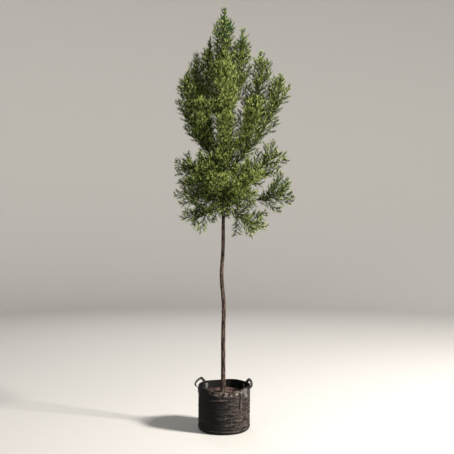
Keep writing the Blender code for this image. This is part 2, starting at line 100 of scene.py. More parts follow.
class Slot(Enum):
    """The record's material slots."""

    FABRIC = "black_fabric"
    WEBBING = "black_webbing"
    SOIL = "dark_soil"
    BARK = "brown_bark"
    FOLIAGE = "green_foliage"


class Pattern(Enum):
    """The fine detail of a finish."""

    PLAIN = "plain"
    FIBRES = "fibres"
    YARNS = "yarns"
    CRUMBS = "crumbs"


@dataclass(frozen=True)
class Finish:
    """A surface finish: two colours, how they mix, and how the surface takes light.

    Attributes:
        name: Name of the material.
        slot: Slot of the record that it belongs to; not used.
        dark: Colour of hollows and shaded patches, linear; where the relief sets it, it is painted shade.
        light: Colour of ridges and lighter patches, linear; where the relief sets it, it is painted light.
        roughness: Mean roughness.
        pattern: The fine detail.
        grain: Size of the fine detail, in metres.
        depth: Depth of the fine bump, in metres.
        patch: Size of the broad changes of colour, in metres.
        stretch: How much the detail is drawn out along Z.
        worn: Share of the mix that the mesh's own relief decides, as painted light and shade.
        sheen: Strength of the soft sheen of fibres.
        bare: Colour where the relief is highest, a painted highlight, or None.
        gloss: Strength of the mirror-like part of the light that it gives back.
        ramp: Where on the mix the dark colour ends and the light colour begins.
        spread: How far the roughness strays from its mean in broad patches.
        bump: Strength of the fine bump, from 0 to 1.
    """

    name: str
    slot: Slot
    dark: Colour
    light: Colour
    roughness: float
    pattern: Pattern = Pattern.PLAIN
    grain: float = 0.002
    depth: float = 0.0
    patch: float = 0.05
    stretch: float = 1.0
    worn: float = 0.0
    sheen: float = 0.0
    bare: Colour | None = None
    gloss: float = 0.3
    ramp: Pair = (0.34, 0.68)
    spread: float = 0.08
    bump: float = 0.8

    def build(self) -> bpy.types.Material:
        """Makes the material.

        Returns:
            A Principled material whose pattern reads Object coordinates, the strap's own map or the relief.
        """
        made = bpy.data.materials.new(self.name)
        made.use_nodes = True
        made.diffuse_color = (*self.light, 1.0)
        tree = made.node_tree
        shader = tree.nodes["Principled BSDF"]
        shader.inputs["Roughness"].default_value = self.roughness
        shader.inputs["Specular IOR Level"].default_value = self.gloss
        if self.pattern is Pattern.PLAIN:
            shader.inputs["Base Color"].default_value = (*self.light, 1.0)
            return made
        shader.inputs["Sheen Weight"].default_value = self.sheen
        place = self._place(tree)
        broad = self._noise(tree, place, self.patch, BROAD_OCTAVES)
        fine = self._fine(tree, place)
        ramp = tree.nodes.new("ShaderNodeValToRGB")
        ends = ramp.color_ramp.elements
        for end, position, colour in zip(ends, self.ramp, (self.dark, self.light)):
            end.position = position
            end.color = (*colour, 1.0)
        if self.bare:
            ends.new(1.0).color = (*self.bare, 1.0)
        tree.links.new(self._mix(tree, broad, fine), ramp.inputs["Fac"])
        tree.links.new(ramp.outputs["Color"], shader.inputs["Base Color"])
        span = tree.nodes.new("ShaderNodeMapRange")
        span.inputs["To Min"].default_value = max(0.0, self.roughness - self.spread)
        span.inputs["To Max"].default_value = min(1.0, self.roughness + self.spread)
        tree.links.new(broad, span.inputs["Value"])
        tree.links.new(span.outputs["Result"], shader.inputs["Roughness"])
        bump = tree.nodes.new("ShaderNodeBump")
        bump.inputs["Strength"].default_value = self.bump
        bump.inputs["Distance"].default_value = self.depth
        tree.links.new(fine, bump.inputs["Height"])
        tree.links.new(bump.outputs["Normal"], shader.inputs["Normal"])
        return made

    def _place(self, tree: Tree) -> Socket:
        """Object coordinates, drawn out along Z by the finish's stretch.

        Args:
            tree: The material's nodes.

        Returns:
            The place to read a pattern at.
        """
        coordinates = tree.nodes.new("ShaderNodeTexCoord")
        mapping = tree.nodes.new("ShaderNodeMapping")
        mapping.inputs["Scale"].default_value = (1.0, 1.0, 1.0 / self.stretch)
        tree.links.new(coordinates.outputs["Object"], mapping.inputs["Vector"])
        return mapping.outputs["Vector"]

    def _noise(self, tree: Tree, place: Socket, size: float, detail: float) -> Socket:
        """Fractal noise.

        Args:
            tree: The material's nodes.
            place: Where it is read.
            size: Size of its largest blots, in metres.
            detail: How many finer octaves it has.

        Returns:
            The noise, from 0 to 1.
        """
        noise = tree.nodes.new("ShaderNodeTexNoise")
        noise.inputs["Scale"].default_value = 1.0 / size
        noise.inputs["Detail"].default_value = detail
        noise.inputs["Roughness"].default_value = OCTAVE_SHARE
        tree.links.new(place, noise.inputs["Vector"])
        return noise.outputs["Fac"]

    def _fine(self, tree: Tree, place: Socket) -> Socket:
        """The fine detail: matted fibres, crossing yarns or crumbs.

        Args:
            tree: The material's nodes.
            place: Where it is read.

        Returns:
            The detail, from 0 to about 1.
        """
        if self.pattern is Pattern.YARNS:
            return self._yarns(tree)
        if self.pattern is Pattern.CRUMBS:
            cells = tree.nodes.new("ShaderNodeTexVoronoi")
            cells.inputs["Scale"].default_value = 1.0 / self.grain
            tree.links.new(place, cells.inputs["Vector"])
            return cells.outputs["Distance"]
        return self._noise(tree, place, self.grain, FINE_OCTAVES)

    def _yarns(self, tree: Tree) -> Socket:
        """Crossing yarns: half, plus half the product of a sine across the strap and a sine along it.

        Args:
            tree: The material's nodes.

        Returns:
            The yarns, from 0 to 1.
        """
        layer = tree.nodes.new("ShaderNodeUVMap")
        layer.uv_map = UV_LAYER
        parts = tree.nodes.new("ShaderNodeSeparateXYZ")
        tree.links.new(layer.outputs["UV"], parts.inputs["Vector"])
        waves = []
        for axis in ("X", "Y"):
            turns = self._math(tree, "MULTIPLY", parts.outputs[axis], 2.0 * math.pi / self.grain)
            waves.append(self._math(tree, "SINE", turns))
        product = self._math(tree, "MULTIPLY", waves[0], waves[1])
        return self._math(tree, "MULTIPLY_ADD", product, 0.5, 0.5)

    def _mix(self, tree: Tree, broad: Socket, fine: Socket) -> Socket:
        """Where between dark and light the surface is: its relief, broad patches and fine detail, weighted.

        Args:
            tree: The material's nodes.
            broad: The broad patches.
            fine: The fine detail.

        Returns:
            The weighted sum.
        """
        rest = (1.0 - self.worn) / 2.0
        mixed = self._math(tree, "MULTIPLY", broad, rest)
        mixed = self._math(tree, "MULTIPLY_ADD", fine, rest, mixed)
        # The relief's share paints light on ridges and shade in hollows.
        if self.worn > 0.0:
            relief = tree.nodes.new("ShaderNodeAttribute")
            relief.attribute_name = RELIEF
            mixed = self._math(tree, "MULTIPLY_ADD", relief.outputs["Fac"], self.worn, mixed)
        return mixed

    def _math(self, tree: Tree, operation: str, *values: Socket | float) -> Socket:
        """One Math node.

        Args:
            tree: The material's nodes.
            operation: What it works out.
            values: Its inputs, each linked if it is a socket and set if it is a number.

        Returns:
            Its result.
        """
        node = tree.nodes.new("ShaderNodeMath")
        node.operation = operation
        for socket, value in zip(node.inputs, values):
            if isinstance(value, float):
                socket.default_value = value
            else:
                tree.links.new(value, socket)
        return node.outputs[0]


# Its bare grey is a painted highlight.
# The felt's relief paints light on ridges, the front right, the rim and crushed dents, and shade in creases.
FELT = Finish("black_felt", Slot.FABRIC, (0.0045, 0.0041, 0.0044), (0.0640, 0.0490, 0.0415), 0.88,
              Pattern.FIBRES, grain=0.0018, depth=0.0006, patch=0.035, worn=0.62, sheen=0.02,
              bare=(0.205, 0.192, 0.182), gloss=0.2)
BACKING = Finish("grey_felt_backing", Slot.FABRIC, (0.040, 0.039, 0.039), (0.150, 0.145, 0.139), 0.90,
                 Pattern.FIBRES, grain=0.0016, depth=0.0004, patch=0.012)
WEBBING = Finish("woven_webbing", Slot.WEBBING, (0.0050, 0.0044, 0.0050), (0.0300, 0.0260, 0.0270), 0.60,
                 Pattern.YARNS, grain=0.0030, depth=0.0004, patch=0.030, sheen=0.06)
THREAD = Finish("dark_thread", Slot.WEBBING, (0.010, 0.009, 0.009), (0.030, 0.028, 0.027), 0.60,
                Pattern.FIBRES, grain=0.0010, depth=0.0002, patch=0.010)
# The compost's relief paints shade in the hollows between clods and light on their tops.
COMPOST = Finish("moist_compost", Slot.SOIL, (0.006, 0.004, 0.003), (0.045, 0.028, 0.021), 0.95,
                 Pattern.CRUMBS, grain=0.006, depth=0.0020, patch=0.030, worn=0.45)
CHIPS = Finish("bark_chips", Slot.SOIL, (0.018, 0.010, 0.009), (0.230, 0.135, 0.120), 0.85,
               Pattern.FIBRES, grain=0.005, depth=0.0008, patch=0.018)
# The bark's relief paints shade in its furrows and light on its ridges.
BARK = Finish("furrowed_bark", Slot.BARK, (0.004, 0.0025, 0.0018), (0.122, 0.084, 0.066), 0.86,
              Pattern.FIBRES, grain=0.0040, depth=0.0006, patch=0.030, stretch=5.0, worn=0.55, gloss=0.2)
TWIG = Finish("brown_twig", Slot.BARK, (0.014, 0.009, 0.006), (0.050, 0.036, 0.022), 0.80)
SHOOT = Finish("green_shoot", Slot.FOLIAGE, (0.030, 0.034, 0.014), (0.050, 0.060, 0.016), 0.70)


class Tint(Enum):
    """The greens of the needles, each a plain colour dealt out by spray, from the darkest up."""

    # The tints are partly the needles' own greens and partly painted light and shade: darker for shaded
    # needles, lighter for lit ones.
    SHADE = (0.016, 0.027, 0.004)
    DEEP = (0.034, 0.062, 0.011)
    LEAF = (0.104, 0.160, 0.029)
    FRESH = (0.238, 0.326, 0.058)
    BRIGHT = (0.500, 0.565, 0.190)
    BLUE = (0.085, 0.190, 0.098)

    def finish(self) -> Finish:
        """The finish of the needles of this tint."""
        return Finish(f"needle_{self.name.lower()}", Slot.FOLIAGE, self.value, self.value, 0.48, gloss=0.12)


# Surfaces


@dataclass
class Shape:
    """A shape in the making.

    Attributes:
        points: Places of its points, N by 3.
        faces: Corners of its triangles, M by 3.
        relief: How far each point stands proud, from 0 in a hollow to 1 on a ridge, or None.
        strap: Each point's place across and along its strap in metres, N by 2, or None.
    """

    points: Array
    faces: Array
    relief: Array | None = None
    strap: Array | None = None

    def put(self, name: str, finish: Finish, nodes: list[str] | None = None,
            smooth: bool = True) -> bpy.types.Object:
        """Makes a piece of the shape, at the origin, and dresses it.

        Args:
            name: Name of the piece.
            finish: Its finish.
            nodes: Names of the solids that it stands for.
            smooth: Whether it is shaded smooth.

        Returns:
            The piece.
        """
        mesh = bpy.data.meshes.new(name)
        mesh.vertices.add(len(self.points))
        mesh.vertices.foreach_set("co", np.ascontiguousarray(self.points, dtype=np.float32).ravel())
        mesh.loops.add(self.faces.size)
        mesh.loops.foreach_set("vertex_index", np.ascontiguousarray(self.faces, dtype=np.int32).ravel())
        mesh.polygons.add(len(self.faces))
        mesh.polygons.foreach_set("loop_start", np.arange(0, self.faces.size, 3, dtype=np.int32))
        mesh.polygons.foreach_set("use_smooth", np.full(len(self.faces), smooth))
        mesh.update(calc_edges=True)
        if self.relief is not None:
            layer = mesh.attributes.new(RELIEF, "FLOAT", "POINT")
            layer.data.foreach_set("value", np.ascontiguousarray(self.relief, dtype=np.float32))
        if self.strap is not None:
            corner_places = np.ascontiguousarray(self.strap[self.faces.ravel()], dtype=np.float32)
            mesh.uv_layers.new(name=UV_LAYER).data.foreach_set("uv", corner_places.ravel())
        mesh.materials.append(bpy.data.materials.get(finish.name) or finish.build())
        piece = bpy.data.objects.new(name, mesh)
        bpy.context.scene.collection.objects.link(piece)
        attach(piece, BODY)
        if nodes:
            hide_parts(*nodes)
        return piece


def joined(shapes: list[Shape]) -> Shape:
    """Several shapes as one.

    Args:
        shapes: The shapes, each with relief or none of them with any.

    Returns:
        One shape with all their points and faces.
    """
    starts = np.cumsum([0] + [len(shape.points) for shape in shapes[:-1]])
    faces = [shape.faces + start for shape, start in zip(shapes, starts)]
    relief = None if shapes[0].relief is None else np.concatenate([shape.relief for shape in shapes])
    return Shape(np.concatenate([shape.points for shape in shapes]), np.concatenate(faces), relief)


def unit(vectors: Array) -> Array:
    """Each vector divided by its length."""
    return vectors / np.maximum(np.linalg.norm(vectors, axis=-1, keepdims=True), 1e-12)


def level_direction(angle: Array) -> Array:
    """The level unit vector at each angle round the trunk, in radians."""
    return np.stack((np.cos(angle), np.sin(angle), np.zeros_like(angle)), axis=-1)


def turned_places(angle: Array, radius: Array, height: Array) -> Array:
    """The places at these angles round the Z axis, distances from it and heights."""
    angle, radius, height = np.broadcast_arrays(angle, radius, height)
    return np.stack((radius * np.cos(angle), radius * np.sin(angle), height), axis=-1)


def round_turn(count: int) -> Array:
    """Evenly spaced angles once round, in radians."""
    return np.linspace(0.0, 2.0 * math.pi, count, endpoint=False)


def distance_walked(line: Array) -> Array:
    """The distance along a line, of N by 3 points, to each of its points."""
    return np.concatenate(([0.0], np.cumsum(np.linalg.norm(np.diff(line, axis=0), axis=1))))


def halves(quads: Array) -> Array:
    """Each four-cornered face as two triangles."""
    return np.concatenate((quads[:, [0, 1, 2]], quads[:, [0, 2, 3]]))


def copies(faces: Array, count: int, size: int) -> Array:
    """The faces of a shape of this size in points, for this many such shapes whose points follow on."""
    return (np.arange(count)[:, None, None] * size + faces[None]).reshape(-1, 3)


def closed_tube(rings: Array, relief: Array | None = None) -> Shape:
    """A tube of rings, closed at each end to the middle of its last ring.

    Args:
        rings: Rows by columns by 3 points. Each row turns counterclockwise seen from the next row.
        relief: Rows by columns of relief, or None.

    Returns:
        A shape of triangles.
    """
    rows, columns = rings.shape[:2]
    row, column = np.meshgrid(np.arange(rows - 1), np.arange(columns), indexing="ij")
    after = (column + 1) % columns
    near, far = row * columns, (row + 1) * columns
    quads = np.stack((near + column, near + after, far + after, far + column), axis=-1).reshape(-1, 4)
    side = np.arange(columns)
    turn = (side + 1) % columns
    base = (rows - 1) * columns
    start = np.stack((np.full(columns, rows * columns), turn, side), axis=-1)
    end = np.stack((np.full(columns, rows * columns + 1), base + side, base + turn), axis=-1)
    points = np.concatenate((rings.reshape(-1, 3), rings[:1].mean(axis=1), rings[-1:].mean(axis=1)))
    faces = np.concatenate((halves(quads), start, end))
    if relief is not None:
        relief = np.concatenate((relief.ravel(), relief[:1].mean(axis=1), relief[-1:].mean(axis=1)))
    return Shape(points, faces, relief)


def frames_along(paths: Array) -> tuple[Array, Array, Array]:
    """Tangent, normal and binormal along each path.

    The normal is the world axis that the whole path leans on least, less its part along the tangent, so all
    paths are done at once and none spins.

    Args:
        paths: Points of the paths, K by N by 3.

    Returns:
        Three arrays, each K by N by 3.
    """
    tangent = unit(np.gradient(paths, axis=1))
    lean = np.abs(paths[:, -1] - paths[:, 0])
    guess = np.eye(3)[np.argmin(lean, axis=-1)][:, None, :]
    normal = unit(guess - tangent * np.sum(guess * tangent, axis=-1, keepdims=True))
    return tangent, normal, np.cross(tangent, normal)


def lattice_noise(places: Array, seed: int) -> Array:
    """Smooth noise from -1 to 1: a random value at each whole-numbered place, blended by a cubic step.

    Args:
        places: Any array of 3-D places, in cells of the noise.
        seed: Which noise.

    Returns:
        One value for each place.
    """
    cell = np.floor(places).astype(np.int64)
    step = places - cell
    step = step * step * (3.0 - 2.0 * step)
    total = np.zeros(places.shape[:-1])
    for corner in np.ndindex(2, 2, 2):
        offset = np.array(corner)
        weight = np.prod(np.where(offset, step, 1.0 - step), axis=-1)
        at = cell + offset
        mixed = at[..., 0] * 73856093 ^ at[..., 1] * 19349663 ^ at[..., 2] * 83492791 ^ seed * 40503
        mixed = (mixed ^ (mixed >> 13)) * 1274126177
        total += weight * (((mixed ^ (mixed >> 16)) & 0xFFFF) / 32767.5 - 1.0)
    return total


def folded_noise(places: Array, seed: int) -> Array:
    """Sharp ridges from 0 to 1: the square of one less the size of the noise, in two octaves.

    Args:
        places: Any array of 3-D places, in cells of the coarser noise.
        seed: Which noise.

    Returns:
        One value for each place.
    """
    coarse = 1.0 - np.abs(lattice_noise(places, seed))
    fine = 1.0 - np.abs(lattice_noise(places * 2.1, seed + 1))
    return (2.0 * coarse**2 + fine**2) / 3.0


def bell(distance: Array, width: float) -> Array:
    """The bell curve: e to the power of minus the square of distance over width."""
    return np.exp(-((distance / width) ** 2))


def turn_between(angle: Array, middle: float) -> Array:
    """How far each angle lies from the middle one, from minus half a turn to half a turn."""
    return np.angle(np.exp(1j * (angle - middle)))


@dataclass(frozen=True)
class Ridge:
    """A ridge with a hollow in it or beside it, each a bell curve of the distance from its middle.

    Attributes:
        height: Height of the ridge.
        width: Its width.
        hollow: Depth of the hollow.
        hollow_width: Its width.
        aside: How far before the ridge the hollow lies.
    """

    height: float
    width: float
    hollow: float
    hollow_width: float
    aside: float = 0.0

    def across(self, off: Array) -> Array:
        """How far the surface stands out at these distances from the middle of the ridge."""
        return self.height * bell(off, self.width) - self.hollow * bell(off + self.aside, self.hollow_width)


# Trunk and limbs


@dataclass(frozen=True)
class Furrows:
    """The furrows of the bark.

    Attributes:
        stretch: How much longer they are along the limb than across it.
        cell: Size of the noise that makes them, across the limb.
        ring_cell: Size of the noise that makes faint rings round the limb.
        ring_squash: How much that is flattened along the limb.
        ring_share: Share of the relief that the rings make up.
    """

    stretch: float = 6.0
    cell: float = 0.0065
    ring_cell: float = 0.010
    ring_squash: float = 9.0
    ring_share: float = 0.15

    def relief(self, angle: Array, along: Array, radius: Array, seed: int) -> Array:
        """The relief, from 0 in a furrow to 1 on a ridge.

        It is a weighted sum of folded noise and squashed noise, both read at the place on a cylinder round
        the limb and drawn out along it.

        Args:
            angle: Angle round the limb.
            along: Distance along the limb.
            radius: Half its thickness.
            seed: Which noise.

        Returns:
            The relief, of the shape that the inputs make together.
        """
        places = turned_places(angle, radius, along / self.stretch)
        broad = folded_noise(places / self.cell, seed)
        rings = lattice_noise(places * np.array((1.0, 1.0, self.ring_squash)) / self.ring_cell, seed + 5)
        return np.clip((1.0 - self.ring_share) * broad + self.ring_share * rings, 0.0, 1.0)


FURROWS = Furrows()


@dataclass(frozen=True)
class Trunk:
    """The trunk, from the soil to inside the top of the crown.

    Attributes:
        foot: Height where it leaves the soil.
        sunk: How far it goes on down into the soil.
        top: Height of its tip.
        base_radius: Half its thickness above the root flare.
        top_radius: Half its thickness at the tip.
        taper: Power of its taper.
        flare: How much wider it is in the soil.
        flare_height: Height over which the flare fades.
        offset: Its place in X.
        sways: Middle height, half height and lean in X and Y of each sway.
        sides: Points in each ring.
        rings: Number of rings.
        furrow: Depth of the bark's furrows.
        knots: Height and angle of each old branch scar.
        scar: The swelling of a scar and the pit in it.
        scar_stretch: How much longer it is along the trunk than across it.
        lobes: Depth, count, start and fading height of the lobes of the root flare.
        seed: Which noise its bark takes.
    """

    foot: float = 0.265
    sunk: float = 0.004
    top: float = 2.45
    base_radius: float = 0.0165
    top_radius: float = 0.0060
    taper: float = 1.8
    flare: float = 0.010
    flare_height: float = 0.035
    offset: float = -0.006
    sways: tuple = ((0.88, 0.12, 0.005, -0.002), (1.13, 0.13, -0.012, 0.005), (1.90, 0.28, 0.004, -0.006))
    sides: int = 44
    rings: int = 560
    furrow: float = 0.0011
    knots: tuple = ((0.41, -1.9), (0.57, 0.4), (0.70, -1.0), (0.86, 2.7), (0.99, -1.5), (1.12, -0.3),
                    (1.24, 1.9), (1.37, -2.4), (1.48, -0.8), (1.56, 0.9))
    scar: Ridge = Ridge(0.0024, 0.0065, 0.0016, 0.0025)
    scar_stretch: float = 1.5
    lobes: Four = (0.16, 3.0, 0.7, 0.05)
    seed: int = 11

    def centre(self, height: Array) -> Array:
        """The axis: an upright line, leaning at each sway by a bell curve of the height.

        Args:
            height: Heights.

        Returns:
            The axis at each height.
        """
        lean_x = np.full_like(height, self.offset)
        lean_y = np.zeros_like(height)
        for middle, half, sway_x, sway_y in self.sways:
            share = bell(height - middle, half)
            lean_x = lean_x + sway_x * share
            lean_y = lean_y + sway_y * share
        return np.stack((lean_x, lean_y, height), axis=-1)

    def radius(self, height: Array) -> Array:
        """Half the thickness: a taper by a power of the height, plus a flare that fades as an exponential.

        Args:
            height: Heights.

        Returns:
            The radius at each height.
        """
        share = np.clip((height - self.foot) / (self.top - self.foot), 0.0, 1.0)
        taper = self.top_radius + (self.base_radius - self.top_radius) * (1.0 - share**self.taper)
        return taper + self.flare * np.exp(-(height - self.foot) / self.flare_height)

    def build(self) -> list[bpy.types.Object]:
        """Builds the bark: a ring at each height, its points moved out and in by the furrows and the scars.

        Returns:
            The trunk.
        """
        height = np.linspace(self.foot - self.sunk, self.top, self.rings)[:, None]
        angle = round_turn(self.sides)[None, :]
        radius = self.radius(height)
        relief = FURROWS.relief(angle, height, radius, self.seed)
        depth, count, start, fade = self.lobes
        lobes = 1.0 + depth * np.sin(count * angle + start) * np.exp(-(height - self.foot) / fade)
        proud = self.furrow * (relief - MEAN_RELIEF)
        for level, side in self.knots:
            off = np.hypot((height - level) / self.scar_stretch, radius * turn_between(angle, side))
            proud = proud + self.scar.across(off)
        spread = (radius * lobes + proud)[..., None]
        rings = self.centre(height[:, 0])[:, None, :] + level_direction(angle + 0.0 * height) * spread
        return [closed_tube(rings, relief).put("trunk_bark", BARK, ["trunk"])]


@dataclass(frozen=True)
class Tier:
    """How the foliage of one storey of the crown grows.

    Attributes:
        plumes: Side plumes on each metre of stem.
        length: Length of the side plumes.
        opening: Degrees between a side plume and the stem, at the stem's foot.
        closing: How many of those degrees are lost towards the stem's tip.
        lift: How strongly the side plumes turn up.
        fullness: How many plumes stand here for each plume of the solids.
        tip_loss: Share of their length that side plumes lose towards the stem's tip.
        tip_power: Power of the place on the stem by which they lose it.
    """

    plumes: float
    length: float
    opening: float
    closing: float
    lift: float
    fullness: float
    tip_loss: float
    tip_power: float


LEADER = Tier(10.0, 0.23, 36.0, 8.0, 0.8, 3.0, 1.25, 2.6)
UPPER = Tier(10.0, 0.21, 38.0, 8.0, 0.8, 2.5, 1.08, 3.4)
LOWER = Tier(21.0, 0.18, 60.0, 18.0, 0.30, 1.9, 0.35, 2.0)


@dataclass(frozen=True)
class Limb:
    """One limb of the crown: a bare bough, if it has one, and beyond it the stem of its foliage.

    Attributes:
        name: Name of its mass of foliage, without the first word.
        tier: The storey that it belongs to.
        height: Where it leaves the trunk.
        heading: Degrees round the trunk: 0 right, 90 back, -90 front.
        reach: How far its tip stands out from the middle.
        tip: Height of its tip.
        leaving: Degrees above level at the trunk.
        arriving: Degrees above level at the tip.
        bare: Share of its length before the foliage.
        girth: Diameter at the trunk.
        fresh_and_lit: How light its needles are, from -1, deep green, to 1, light green. This is partly
        how fresh they are and partly painted light and shade, set limb by limb.
    """

    name: str
    tier: Tier
    height: float
    heading: float
    reach: float
    tip: float
    leaving: float
    arriving: float
    bare: float
    girth: float
    fresh_and_lit: float

    def axis(self, trunk: Trunk, near: float, far: float, count: int) -> Array:
        """Evenly spaced points between two shares of the limb's length.

        The limb is a Hermite curve: its ends' places and their headings, each as long as the chord, weighted
        by cubics. Points are then read off at equal steps of the distance walked.

        Args:
            trunk: The trunk that it grows from.
            near: Share of the length where the points begin.
            far: Share of the length where they end.
            count: How many points.

        Returns:
            Count by 3 points.
        """
        turn = math.radians(self.heading)
        start = trunk.centre(np.array(min(self.height, trunk.top)))
        end = np.array((self.reach * math.cos(turn), self.reach * math.sin(turn), self.tip))
        chord = np.linalg.norm(end - start)
        t = np.linspace(0.0, 1.0, CURVE_POINTS)[:, None]
        line = start * (2 * t**3 - 3 * t**2 + 1) + end * (3 * t**2 - 2 * t**3)
        line = line + self._rise(self.leaving) * chord * (t**3 - 2 * t**2 + t)
        line = line + self._rise(self.arriving) * chord * (t**3 - t**2)
        walked = distance_walked(line)
        wanted = np.linspace(near, far, count) * walked[-1]
        return np.stack([np.interp(wanted, walked, line[:, axis]) for axis in range(3)], axis=-1)

    def length(self, trunk: Trunk) -> float:
        """The length of the whole limb."""
        return float(path_length(self.axis(trunk, 0.0, 1.0, CURVE_POINTS)[None])[0])

    def _rise(self, degrees: float) -> Array:
        """The way that the limb's heading points when it is tilted up.

        Args:
            degrees: Degrees above level.

        Returns:
            A unit vector.
        """
        turn, tilt = math.radians(self.heading), math.radians(degrees)
        level = math.cos(tilt)
        return np.array((math.cos(turn) * level, math.sin(turn) * level, math.sin(tilt)))


def path_length(paths: Array) -> Array:
    """The length of each path of K by N by 3."""
    return np.linalg.norm(np.diff(paths, axis=1), axis=-1).sum(axis=1)


# Each limb's last number sets how light its needles are: partly their freshness, partly painted light and
# shade.
LIMBS = (
    Limb("leader", LEADER, 2.45, 90, 0.004, 3.106, 90, 90, 0.0, 0.010, 0.10),
    Limb("leader_right", LEADER, 2.28, 10, 0.140, 2.960, 58, 90, 0.0, 0.010, 0.25),
    Limb("leader_left", LEADER, 2.22, 176, 0.105, 2.880, 62, 92, 0.0, 0.010, 0.05),
    Limb("leader_front", LEADER, 2.12, -82, 0.110, 2.760, 54, 92, 0.0, 0.010, 0.35),
    Limb("leader_back", LEADER, 2.16, 98, 0.120, 2.840, 54, 92, 0.0, 0.010, -0.10),
    Limb("upper_left", UPPER, 1.98, 172, 0.205, 2.780, 44, 92, 0.12, 0.015, 0.12),
    Limb("upper_left_outer", UPPER, 1.88, 186, 0.260, 2.640, 40, 100, 0.20, 0.015, 0.16),
    Limb("upper_left_front", UPPER, 1.86, 222, 0.220, 2.420, 36, 94, 0.16, 0.012, 0.12),
    Limb("upper_left_back", UPPER, 1.94, 134, 0.250, 2.560, 40, 92, 0.18, 0.013, -0.20),
    Limb("upper_right", UPPER, 1.97, 5, 0.275, 2.790, 42, 94, 0.20, 0.016, 0.05),
    Limb("upper_right_outer", UPPER, 1.88, -3, 0.425, 2.610, 36, 84, 0.30, 0.016, 0.15),
    Limb("upper_right_front", UPPER, 1.84, -36, 0.290, 2.420, 34, 88, 0.20, 0.013, 0.20),
    Limb("upper_right_back", UPPER, 1.92, 44, 0.300, 2.520, 38, 90, 0.20, 0.013, -0.05),
    Limb("upper_front", UPPER, 1.89, -84, 0.220, 2.300, 34, 90, 0.0, 0.012, 0.10),
    Limb("upper_back", UPPER, 1.88, 90, 0.240, 2.460, 38, 90, 0.10, 0.013, -0.05),
    Limb("lower_left_upper", LOWER, 1.77, 170, 0.310, 1.950, 14, 44, 0.0, 0.011, 0.45),
    Limb("lower_left", LOWER, 1.68, 184, 0.290, 1.750, 4, 24, 0.10, 0.011, 0.52),
    Limb("lower_left_hanging", LOWER, 1.62, 204, 0.250, 1.540, 0, -40, 0.0, 0.009, 0.38),
    Limb("lower_right_upper", LOWER, 1.79, 6, 0.400, 2.045, 16, 52, 0.16, 0.012, 0.15),
    Limb("lower_right_far", LOWER, 1.73, -5, 0.450, 1.765, -26, 44, 0.48, 0.012, 0.05),
    Limb("lower_right_hanging", LOWER, 1.67, -14, 0.255, 1.485, -40, -32, 0.20, 0.009, 0.35),
    Limb("lower_front_left", LOWER, 1.75, 234, 0.300, 1.910, 10, 50, 0.0, 0.011, 0.32),
    Limb("lower_front_right", LOWER, 1.71, -48, 0.310, 1.870, 8, 46, 0.0, 0.011, 0.25),
    Limb("lower_front_upper", LOWER, 1.80, -112, 0.240, 1.990, 26, 66, 0.0, 0.010, 0.05),
    Limb("lower_front", LOWER, 1.69, -86, 0.300, 1.780, 6, 34, 0.0, 0.010, 0.05),
    Limb("lower_back_left", LOWER, 1.75, 128, 0.320, 1.930, 10, 50, 0.0, 0.011, -0.15),
    Limb("lower_back_right", LOWER, 1.70, 52, 0.330, 1.910, 10, 48, 0.0, 0.011, 0.05),
    Limb("lower_back", LOWER, 1.66, 90, 0.320, 1.740, 4, 30, 0.0, 0.010, -0.05),
)
MASSES = [f"foliage_{limb.name}" for limb in LIMBS]


